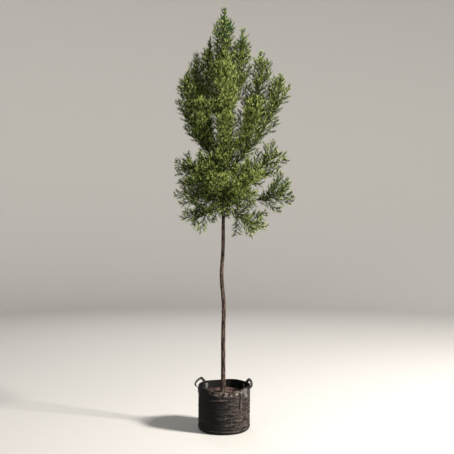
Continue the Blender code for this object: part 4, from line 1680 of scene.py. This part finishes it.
    def face(self, angle: Array, height: Array, lifted: Array | float = 0.0) -> tuple[Array, Array]:
        """The crumpled outer face.

        Args:
            angle: Angles round the pot.
            height: Heights before the front of the rim folds.
            lifted: How far out of the face.

        Returns:
            The places and the relief.
        """
        proud, relief = self.crumple(angle, height)
        inward, down = self.front_folds(angle)
        near_rim = np.clip(1.0 - (self.rim(angle) - height) / self.fold_reach, 0.0, 1.0) ** 1.5
        radius = self.outside(angle, height) + proud - inward * near_rim + lifted
        return turned_places(angle, radius, height - down * near_rim), relief

    def build(self) -> list[bpy.types.Object]:
        """Builds the felt as one closed skin, with the stitches of its hem.

        The skin's rows run from the middle of the underside out, up the wall, over the rim and down the
        inner wall to the middle of the floor.

        Returns:
            The pot and its stitches.
        """
        angle = round_turn(self.columns)[None, :]
        share = np.linspace(0.0, 1.0, self.wall_rows)[:, None]
        height = self.foot_round + (self.rim(angle) - self.foot_round) * share
        wall, relief = self.face(angle, height)
        under = self._under(angle)
        rings = np.concatenate((under, wall, self._over(angle, wall)))
        plain, worn = self.skin_relief
        reliefs = np.full(rings.shape[:2], plain)
        first, last = len(under), len(under) + self.wall_rows
        reliefs[first:last] = relief
        # The roll of the rim gets raised relief, a painted highlight.
        reliefs[last - 3:last + 6] = np.clip(worn + 0.5 * (relief[-1] - 0.5), 0.0, 1.0)
        return [closed_tube(rings, reliefs).put("pot_felt", FELT, ["pot"]), self._stitches()]

    def _under(self, angle: Array) -> Array:
        """The flat underside and the rounded foot: a quarter circle that meets the wall.

        Args:
            angle: Angles round the pot.

        Returns:
            The rings, from the middle out.
        """
        edge = self.outside(angle, np.full_like(angle, self.foot_round)) - self.foot_round
        flat = np.linspace(self.inside[1], 1.0, 8)[:, None]
        turn = np.linspace(0.0, math.pi / 2.0, 9)[1:-1, None]
        radius = np.concatenate((edge * flat, edge + self.foot_round * np.sin(turn)))
        height = np.concatenate((0.0 * flat, self.foot_round * (1.0 - np.cos(turn))))
        return turned_places(angle, radius, height)

    def _over(self, angle: Array, wall: Array) -> Array:
        """The roll of the rim, as half a circle, then the inner wall and the floor inside.

        Args:
            angle: Angles round the pot.
            wall: The rings of the outer wall.

        Returns:
            The rings that follow the wall.
        """
        top = np.linalg.norm(wall[-1:, :, :2], axis=-1)
        level = wall[-1:, :, 2]
        thick = (self.wall + self.hem_thickness) / 2.0
        turn = np.linspace(0.0, math.pi, 8)[1:, None]
        roll = turned_places(angle, top - thick + thick * np.cos(turn), level + thick * np.sin(turn))
        inner = wall[-2:10:-3]
        radius = np.linalg.norm(inner[..., :2], axis=-1) - self.wall - self.hem_thickness * 0.5
        down = turned_places(angle, radius, inner[..., 2])
        level, innermost = self.inside
        shares = np.linspace(0.93, innermost, 6)[:, None]
        floor = turned_places(angle, radius[-1:] * shares, np.array(level))
        return np.concatenate((roll, down, floor))

    def _stitches(self) -> bpy.types.Object:
        """The thread along the hem: a short dash every few millimetres round the pot.

        Returns:
            The piece.
        """
        long, lifted, thick = self.stitch
        angle = round_turn(self.stitches)
        half = long / self.radius / 2.0
        ends = []
        for at in (angle - half, angle + half):
            ends.append(self.face(at, self.rim(at) - self.hem + self.stitch_rise, lifted)[0])
        return dashes(ends[0], ends[1], thick).put("hem_stitches", THREAD)


def dashes(start: Array, end: Array, radius: float, sides: int = 6) -> Shape:
    """Short round dashes of thread, each drawn to a point over the first and the last fifth of its length.

    Args:
        start: First ends, K by 3.
        end: Last ends, K by 3.
        radius: Half the thread's thickness.
        sides: Points in each ring.

    Returns:
        One shape of triangles.
    """
    share = np.array((0.0, 0.2, 0.8, 1.0))[None, :, None]
    paths = start[:, None] * (1.0 - share) + end[:, None] * share
    _, normal, binormal = frames_along(paths)
    angle = round_turn(sides)[:, None]
    turned = normal[:, 1:3, None] * np.cos(angle) + binormal[:, 1:3, None] * np.sin(angle)
    rings = (paths[:, 1:3, None] + turned * radius).reshape(len(start), 2 * sides, 3)
    places = np.concatenate((rings, paths[:, :1], paths[:, 3:]), axis=1)
    side = np.arange(sides)
    after = (side + 1) % sides
    first_tip = np.full(sides, 2 * sides)
    one = np.concatenate((
        np.stack((side, after, after + sides), axis=-1),
        np.stack((side, after + sides, side + sides), axis=-1),
        np.stack((after, side, first_tip), axis=-1),
        np.stack((side + sides, after + sides, first_tip + 1), axis=-1),
    ))
    return Shape(places.reshape(-1, 3), copies(one, len(start), 2 * sides + 2))


@dataclass(frozen=True)
class Soil:
    """The compost that fills the pot, with bark chips on it.

    Attributes:
        pot: The pot that it fills.
        trunk: The trunk that stands in it.
        top: Its mean height.
        clear: Its distance from the pot's inner wall.
        columns: Points round it.
        rows: Rows of points from the edge to the middle.
        sunk: How far its clods are sunk under that height.
        lumps: Size and height of the clods, and of the crumbs.
        mound: Height and width of the mound round the trunk.
        chips: How many bark chips lie on it.
        chip_reach: How far out they lie.
        chip_size: Least and most of half their length, width and thickness.
        seed: Seed of the chips.
    """

    pot: FabricPot
    trunk: Trunk
    top: float = 0.265
    clear: float = 0.0012
    columns: int = 240
    rows: int = 90
    sunk: float = 0.001
    lumps: Four = (0.032, 0.009, 0.010, 0.0040)
    mound: Pair = (0.006, 0.060)
    chips: int = 400
    chip_reach: float = 0.172
    chip_size: tuple = ((0.004, 0.013), (0.003, 0.006), (0.0008, 0.0018))
    seed: int = 5

    def surface(self, x: Array, y: Array) -> tuple[Array, Array]:
        """Height of the compost at a place, and its relief.

        It is a level, plus clods and crumbs of folded noise, plus a low mound round the trunk.

        Args:
            x: Places in X.
            y: Places in Y.

        Returns:
            Heights and relief from 0 to 1.
        """
        places = np.stack((x, y, np.zeros_like(x)), axis=-1)
        size, clod, crumb_size, crumb = self.lumps
        clods = folded_noise(places / size, 21)
        crumbs = folded_noise(places / crumb_size, 25)
        mound = self.mound[0] * bell(np.hypot(x - self.trunk.offset, y), self.mound[1])
        height = self.top - self.sunk + clod * (clods - MEAN_RELIEF) + crumb * (crumbs - MEAN_RELIEF) + mound
        # Its relief makes clods lighter and the hollows between them darker, as painted light and shade.
        return height, np.clip(0.55 * clods + 0.45 * crumbs, 0.0, 1.0)

    def build(self) -> list[bpy.types.Object]:
        """Builds the compost as one closed shape, and the chips as another.

        Returns:
            The compost and the chips.
        """
        angle = round_turn(self.columns)[None, :]
        edge = self.pot.outside(angle, np.full_like(angle, self.top)) - self.pot.wall - self.clear
        share = np.linspace(1.0, 0.02, self.rows)[:, None] ** 0.8
        x, y = edge * share * np.cos(angle), edge * share * np.sin(angle)
        height, relief = self.surface(x, y)
        narrow = np.array((0.90, 0.96, 1.0, 1.0, 1.0, 1.0))[:, None]
        level = np.linspace(0.008, self.top - 0.02, len(narrow))[:, None]
        skirt = turned_places(angle, (edge - 0.004) * narrow, level)
        rings = np.concatenate((skirt, np.stack((x, y, height), axis=-1)))
        reliefs = np.concatenate((np.full(skirt.shape[:2], 0.4), relief))
        compost = closed_tube(rings, reliefs).put("compost", COMPOST, ["soil"])
        return [compost, self._chips().put("bark_chips", CHIPS, smooth=False)]

    def _chips(self) -> Shape:
        """Bark chips that lie about on the compost: uneven six-sided flakes of twelve triangles each.

        Returns:
            One shape of triangles.
        """
        rng = np.random.default_rng(self.seed)
        out = self.chip_reach * np.sqrt(rng.uniform(0.03, 1.0, self.chips))
        angle = rng.uniform(0.0, 2.0 * math.pi, self.chips)
        x, y = out * np.cos(angle), out * np.sin(angle)
        height, _ = self.surface(x, y)
        size = np.stack([rng.uniform(least, most, self.chips) for least, most in self.chip_size], axis=-1)
        along = unit(rng.normal(0.0, 1.0, (self.chips, 3)) * np.array((1.0, 1.0, 0.30)))
        across = unit(np.cross(rng.normal(0.0, 0.35, (self.chips, 3)) + UP, along))
        up = np.cross(along, across)
        corner = np.array(((-1, -1, -1), (1, -1, -1), (1, 1, -1), (-1, 1, -1),
                           (-1, -1, 1), (1, -1, 1), (1, 1, 1), (-1, 1, 1)), dtype=float)
        spread = corner[None] * size[:, None] * rng.uniform(0.55, 1.15, (self.chips, 8, 1))
        centre = np.stack((x, y, height + 0.0012), axis=-1)
        places = centre[:, None] + spread[..., :1] * along[:, None] + spread[..., 1:2] * across[:, None]
        places = places + spread[..., 2:] * up[:, None]
        quads = np.array(((0, 3, 2, 1), (4, 5, 6, 7), (0, 1, 5, 4), (1, 2, 6, 5), (2, 3, 7, 6), (3, 0, 4, 7)))
        return Shape(places.reshape(-1, 3), copies(halves(quads), self.chips, len(corner)))


@dataclass(frozen=True)
class Handle:
    """A webbing handle, sewn flat to the wall at both ends with a free loop between.

    Attributes:
        name: Name of its solid.
        pot: The pot that it is sewn to.
        feet: Degrees round the pot of its two ends.
        width: Width of the webbing.
        thickness: Its thickness.
        grip_width: Width in the middle of the loop, where it is folded double and sewn to a grip.
        grip_thickness: Thickness there.
        sewn: Lowest and highest level where it is sewn.
        top: Height of the loop.
        bow: How far the loop stands out.
        face_up: How far its face turns up at the top, in radians.
        rows: Points along each sewn end and along the loop.
        sides: Points round the webbing.
        seat: How far its sewn ends stand off the crumpled wall.
        loop_off: How far the loop's middle line starts off the wall, and what it loses of that at the top.
        thread: Half the thickness of its thread, and the distance between its stitches.
        patch_thickness: Thickness of the felt patches inside the wall.
        patch_sunk: How far their backs are sunk in the wall.
        patch_inside: Half the width and half the height of the felt patch inside the wall.
        patch_outside: The same for the patch between the strap and the wall.
        patch_shift: How far that patch stands out from under the strap, away from the loop.
        rib: Depth of the woven ribs.
        pitch: Distance between ribs.
    """

    name: str
    pot: FabricPot
    feet: Pair
    width: float = 0.022
    thickness: float = 0.0025
    grip_width: float = 0.0205
    grip_thickness: float = 0.0165
    sewn: Pair = (0.270, 0.306)
    top: float = 0.354
    bow: float = 0.020
    face_up: float = math.radians(62.0)
    rows: tuple[int, int] = (60, 320)
    sides: int = 32
    seat: float = 0.0012
    loop_off: Pair = (0.0040, 0.001)
    thread: Pair = (0.00055, 0.0042)
    patch_thickness: float = 0.0026
    patch_sunk: float = 0.0012
    patch_inside: Pair = (0.014, 0.020)
    patch_outside: Pair = (0.028, 0.029)
    patch_shift: float = 0.015
    rib: float = 0.00022
    pitch: float = 0.0030

    def build(self) -> list[bpy.types.Object]:
        """Builds the webbing, its stitches and the felt backing behind each sewn end.

        Returns:
            The pieces.
        """
        path, facing = self._line()
        return [self._webbing(path, facing), self._thread(), self._backing()]

    def _seat(self, degrees: float, height: Array) -> tuple[Array, Array]:
        """The strap's middle where it lies on the wall.

        Args:
            degrees: Where round the pot.
            height: Heights.

        Returns:
            The places, and the way that the strap faces at each.
        """
        angle = np.full_like(height, math.radians(degrees))
        proud, _ = self.pot.crumple(angle, height)
        radius = self.pot.outside(angle, height) + np.maximum(proud, 0.0) + self.seat + self.thickness / 2.0
        facing = level_direction(angle)
        return facing * radius[:, None] + UP * height[:, None], facing

    def _line(self) -> tuple[Array, Array]:
        """The strap's middle line: up one sewn end, over the loop, down the other.

        The loop's height follows half a sine, its angle half a cosine, and it bows out by a sine of the
        height.

        Returns:
            The line, and the way that the strap faces along it.
        """
        height = np.linspace(*self.sewn, self.rows[0])
        first, first_facing = self._seat(self.feet[0], height)
        last, last_facing = self._seat(self.feet[1], height[::-1])
        turn = np.linspace(0.0, math.pi, self.rows[1])[1:-1]
        arch = np.sin(turn)
        angle = np.radians(self.feet[0] + (self.feet[1] - self.feet[0]) * (1.0 - np.cos(turn)) / 2.0)
        level = self.sewn[1] + (self.top - self.sewn[1]) * arch
        radius = self.pot.outside(angle, np.minimum(level, self.pot.height)) + self.loop_off[0]
        radius = radius + self.bow * np.sin(math.pi * arch) - self.loop_off[1] * arch
        radial = level_direction(angle)
        tilt = (self.face_up * arch**2)[:, None]
        loop = radial * radius[:, None] + UP * level[:, None]
        loop_facing = radial * np.cos(tilt) + UP * np.sin(tilt)
        facing = np.concatenate((first_facing, loop_facing, last_facing))
        return np.concatenate((first, loop, last)), facing

    def _webbing(self, path: Array, facing: Array) -> bpy.types.Object:
        """The strap: a flat oval profile carried along its line, rounder at the grip, with woven ribs.

        Args:
            path: The strap's middle line.
            facing: The way that its outer face looks.

        Returns:
            The piece.
        """
        tangent = unit(np.gradient(path, axis=0))
        across = unit(np.cross(facing, tangent))
        outward = np.cross(tangent, across)
        walked = distance_walked(path)
        over = np.sin(np.linspace(0.0, math.pi, self.rows[1])[1:-1]) ** 0.7
        grip = np.pad(over, self.rows[0])[:, None]
        turn = round_turn(self.sides)[None, :]
        half = (self.width + (self.grip_width - self.width) * grip) / 2.0
        wide = np.sign(np.cos(turn)) * np.abs(np.cos(turn)) ** (0.5 + 0.3 * grip) * half
        half = (self.thickness + (self.grip_thickness - self.thickness) * grip) / 2.0
        deep = np.sign(np.sin(turn)) * np.abs(np.sin(turn)) ** (0.35 + 0.45 * grip) * half
        woven = np.cos(2.0 * math.pi * walked / self.pitch)[:, None] * np.cos(math.pi * wide / 0.0022)
        depth = deep + self.rib * woven * np.sign(deep)
        rings = path[:, None] + across[:, None] * wide[..., None] + outward[:, None] * depth[..., None]
        shape = closed_tube(rings)
        flat = np.stack(np.broadcast_arrays(wide, walked[:, None]), axis=-1).reshape(-1, 2)
        shape.strap = np.concatenate((flat, ((0.0, 0.0), (0.0, walked[-1]))))
        return shape.put(f"webbing_{self.name}", WEBBING, [self.name])

    def _thread(self) -> bpy.types.Object:
        """The stitches of each sewn end: a box with a cross in it, as dashes.

        Returns:
            The piece.
        """
        half, low, high = self.width / 2.0 - 0.003, self.sewn[0] + 0.004, self.sewn[1] - 0.004
        corners = ((-half, low), (half, low), (half, high), (-half, high))
        runs = [(corners[k], corners[(k + 1) % 4]) for k in range(4)]
        runs += [(corners[0], corners[2]), (corners[1], corners[3])]
        starts, ends = [], []
        for degrees in self.feet:
            for run_start, run_end in runs:
                count = max(2, round(math.dist(run_start, run_end) / self.thread[1]))
                for found, offset in ((starts, 0.12), (ends, 0.80)):
                    share = ((np.arange(count) + offset) / count)[:, None]
                    flat = np.array(run_start) * (1.0 - share) + np.array(run_end) * share
                    found.append(self._on_face(degrees, flat))
        shape = dashes(np.concatenate(starts), np.concatenate(ends), self.thread[0])
        return shape.put(f"stitches_{self.name}", THREAD)

    def _on_face(self, degrees: float, flat: Array) -> Array:
        """Points on the outer face of a sewn end.

        Args:
            degrees: Where round the pot the end is.
            flat: The points' places across it and their heights, K by 2.

        Returns:
            The points, K by 3.
        """
        middle, facing = self._seat(degrees, flat[:, 1])
        across = np.cross(UP, facing)
        return middle + facing * (self.thickness / 2.0 + 0.0002) + across * flat[:, :1]

    def _backing(self) -> bpy.types.Object:
        """The felt patches inside and outside the wall at each sewn end: thin crowned pads bent to the wall.

        Returns:
            The piece.
        """
        pads = []
        share = np.linspace(-1.0, 1.0, 33)
        up, across = np.meshgrid(share, share, indexing="ij")
        middle = (self.sewn[0] + self.sewn[1]) / 2.0 - 0.002
        height = middle + up * self.patch_inside[1]
        low = middle - 0.003 + up * self.patch_outside[1]
        crown = self.patch_thickness * (1.0 - across**6) * (1.0 - up**6) + 0.0001
        for degrees in self.feet:
            angle = math.radians(degrees) + across * self.patch_inside[0] / self.pot.radius
            inner = self.pot.outside(angle, height) - self.pot.wall - 0.0004
            front = turned_places(angle, inner - crown, height)
            pads.append(slab(front, turned_places(angle, inner + self.patch_sunk, height)))
            away = math.copysign(self.patch_shift, degrees - sum(self.feet) / 2.0)
            angle = math.radians(degrees) + (away + across * self.patch_outside[0]) / self.pot.radius
            outer = self.pot.face(angle, low, 0.45 * crown)[0]
            pads.append(slab(outer[:, ::-1], self.pot.face(angle, low, -self.patch_sunk)[0][:, ::-1]))
        return joined(pads).put(f"backing_{self.name}", BACKING)


def slab(front: Array, back: Array) -> Shape:
    """A closed slab between two grids of the same size.

    Args:
        front: Rows by columns by 3 points of the face that shows. It faces along its rows' step crossed
            with its columns' step.
        back: The same for the face behind it.

    Returns:
        A shape of triangles.
    """
    rows, columns = front.shape[:2]
    row, column = np.meshgrid(np.arange(rows - 1), np.arange(columns - 1), indexing="ij")
    base = (row * columns + column).ravel()
    quads = np.stack((base, base + columns, base + columns + 1, base + 1), axis=-1)
    total = rows * columns
    edge = np.concatenate((np.arange(columns), np.arange(1, rows) * columns + columns - 1,
                           total - 2 - np.arange(columns - 1), (rows - 2 - np.arange(rows - 2)) * columns))
    after = np.roll(edge, -1)
    sides = np.stack((edge, after, after + total, edge + total), axis=-1)
    every = np.concatenate((quads, quads[:, ::-1] + total, sides))
    return Shape(np.concatenate((front.reshape(-1, 3), back.reshape(-1, 3))), halves(every))


# Studio


@dataclass(frozen=True)
class Lamp:
    """A square soft light that looks at the middle of the tree.

    Attributes:
        name: Its name.
        place: Where it stands.
        size: Its side.
        power: Its power in watts.
        colour: Its colour.
    """

    name: str
    place: tuple[float, float, float]
    size: float
    power: float
    colour: Colour

    def build(self) -> None:
        """Makes the light and turns it towards the tree."""
        light = bpy.data.lights.new(self.name, "AREA")
        light.size = self.size
        light.energy = self.power
        light.color = self.colour
        lamp = bpy.data.objects.new(self.name, light)
        toward = unit(TREE_MIDDLE - np.array(self.place))
        lamp.location = self.place
        lamp.rotation_euler = (math.acos(-toward[2]), 0.0, math.atan2(toward[1], toward[0]) - math.pi / 2.0)
        lamp.visible_camera = False
        bpy.context.scene.collection.objects.link(lamp)


@dataclass(frozen=True)
class Studio:
    """The pale floor that curves up all round, the soft lights and the camera.

    Attributes:
        floor_radius: Radius of the level floor.
        curve_radius: Radius of the curve that joins it to the wall.
        wall_top: Height of the wall.
        paint: Colour of the floor.
        air: Colour of the light from all round.
        air_strength: Its strength.
        lamps: The lights.
        camera_place: Where the camera stands.
        lens: Its focal length in millimetres, on a sensor 36 mm wide.
    """

    floor_radius: float = 8.0
    curve_radius: float = 3.0
    wall_top: float = 7.0
    paint: Colour = (0.52, 0.51, 0.50)
    air: Colour = (0.90, 0.91, 0.92)
    air_strength: float = 0.20
    lamps: tuple[Lamp, ...] = (
        Lamp("key", (6.5, -2.7, 5.4), 1.2, 1980.0, (1.0, 0.955, 0.88)),
        Lamp("fill", (-5.5, -5.0, 4.4), 3.0, 74.0, (0.98, 0.98, 0.96)),
        Lamp("rim", (-1.5, 5.8, 5.0), 3.0, 110.0, (1.0, 0.98, 0.95)),
    )
    camera_place: tuple[float, float, float] = (0.0222, -5.3, 1.4875)
    lens: float = 56.85

    def build(self) -> None:
        """Makes the floor, the lights, the world and the camera."""
        self._floor()
        for lamp in self.lamps:
            lamp.build()
        world = bpy.data.worlds.new("studio")
        world.use_nodes = True
        world.node_tree.nodes["Background"].inputs["Color"].default_value = (*self.air, 1.0)
        world.node_tree.nodes["Background"].inputs["Strength"].default_value = self.air_strength
        bpy.context.scene.world = world
        camera = bpy.data.objects.new("camera", bpy.data.cameras.new("camera"))
        camera.data.lens = self.lens
        camera.data.sensor_width = SENSOR_WIDTH
        camera.location = self.camera_place
        camera.rotation_euler = (math.radians(90.0), 0.0, 0.0)
        bpy.context.scene.collection.objects.link(camera)
        bpy.context.scene.camera = camera
        bpy.context.scene.view_settings.view_transform = "Standard"

    def _floor(self) -> None:
        """A level disc, a quarter circle up and a wall, turned about Z."""
        turn = np.linspace(0.0, math.pi / 2.0, 24)[1:]
        wall = self.floor_radius + self.curve_radius
        radius = np.concatenate((np.linspace(0.5, self.floor_radius, 12),
                                 self.floor_radius + self.curve_radius * np.sin(turn), (wall,)))[:, None]
        height = np.concatenate((np.zeros(12), self.curve_radius * (1.0 - np.cos(turn)),
                                 (self.wall_top,)))[:, None]
        angle = round_turn(128)[None, :]
        shape = closed_tube(turned_places(angle, radius, height)[::-1])
        lid = len(radius) * angle.size
        faces = shape.faces[np.all(shape.faces != lid, axis=1)]
        mesh = bpy.data.meshes.new("floor")
        mesh.from_pydata(shape.points.tolist(), [], faces.tolist())
        mesh.shade_smooth()
        paint = bpy.data.materials.new("pale_floor")
        paint.use_nodes = True
        shader = paint.node_tree.nodes["Principled BSDF"]
        shader.inputs["Base Color"].default_value = (*self.paint, 1.0)
        shader.inputs["Roughness"].default_value = 0.95
        mesh.materials.append(paint)
        floor = bpy.data.objects.new("floor", mesh)
        bpy.context.scene.collection.objects.link(floor)
        floor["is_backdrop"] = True


def corners_of(bounds: tuple) -> list[list[float]]:
    """A box's two corners as plain lists of numbers."""
    return [[float(value) for value in corner] for corner in bounds]


def main() -> None:
    """Builds the tree and its pot piece by piece, and the studio round them."""
    logging.basicConfig(level=logging.INFO, format="%(message)s")
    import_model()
    solids_box = corners_of(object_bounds())
    trunk = Trunk()
    pot = FabricPot()
    sub_assemblies = (
        Foliage(trunk, solids_box),
        Boughs(trunk),
        trunk,
        pot,
        Soil(pot, trunk),
        Handle("handle_left", pot, (185.0, 135.0)),
        Handle("handle_right", pot, (-25.0, 35.0)),
    )
    for sub_assembly in sub_assemblies:
        for piece in sub_assembly.build():
            piece.data.calc_loop_triangles()
            LOG.info("%s: %d triangles", piece.name, len(piece.data.loop_triangles))
    Studio().build()


if __name__ == "__main__":
    main()
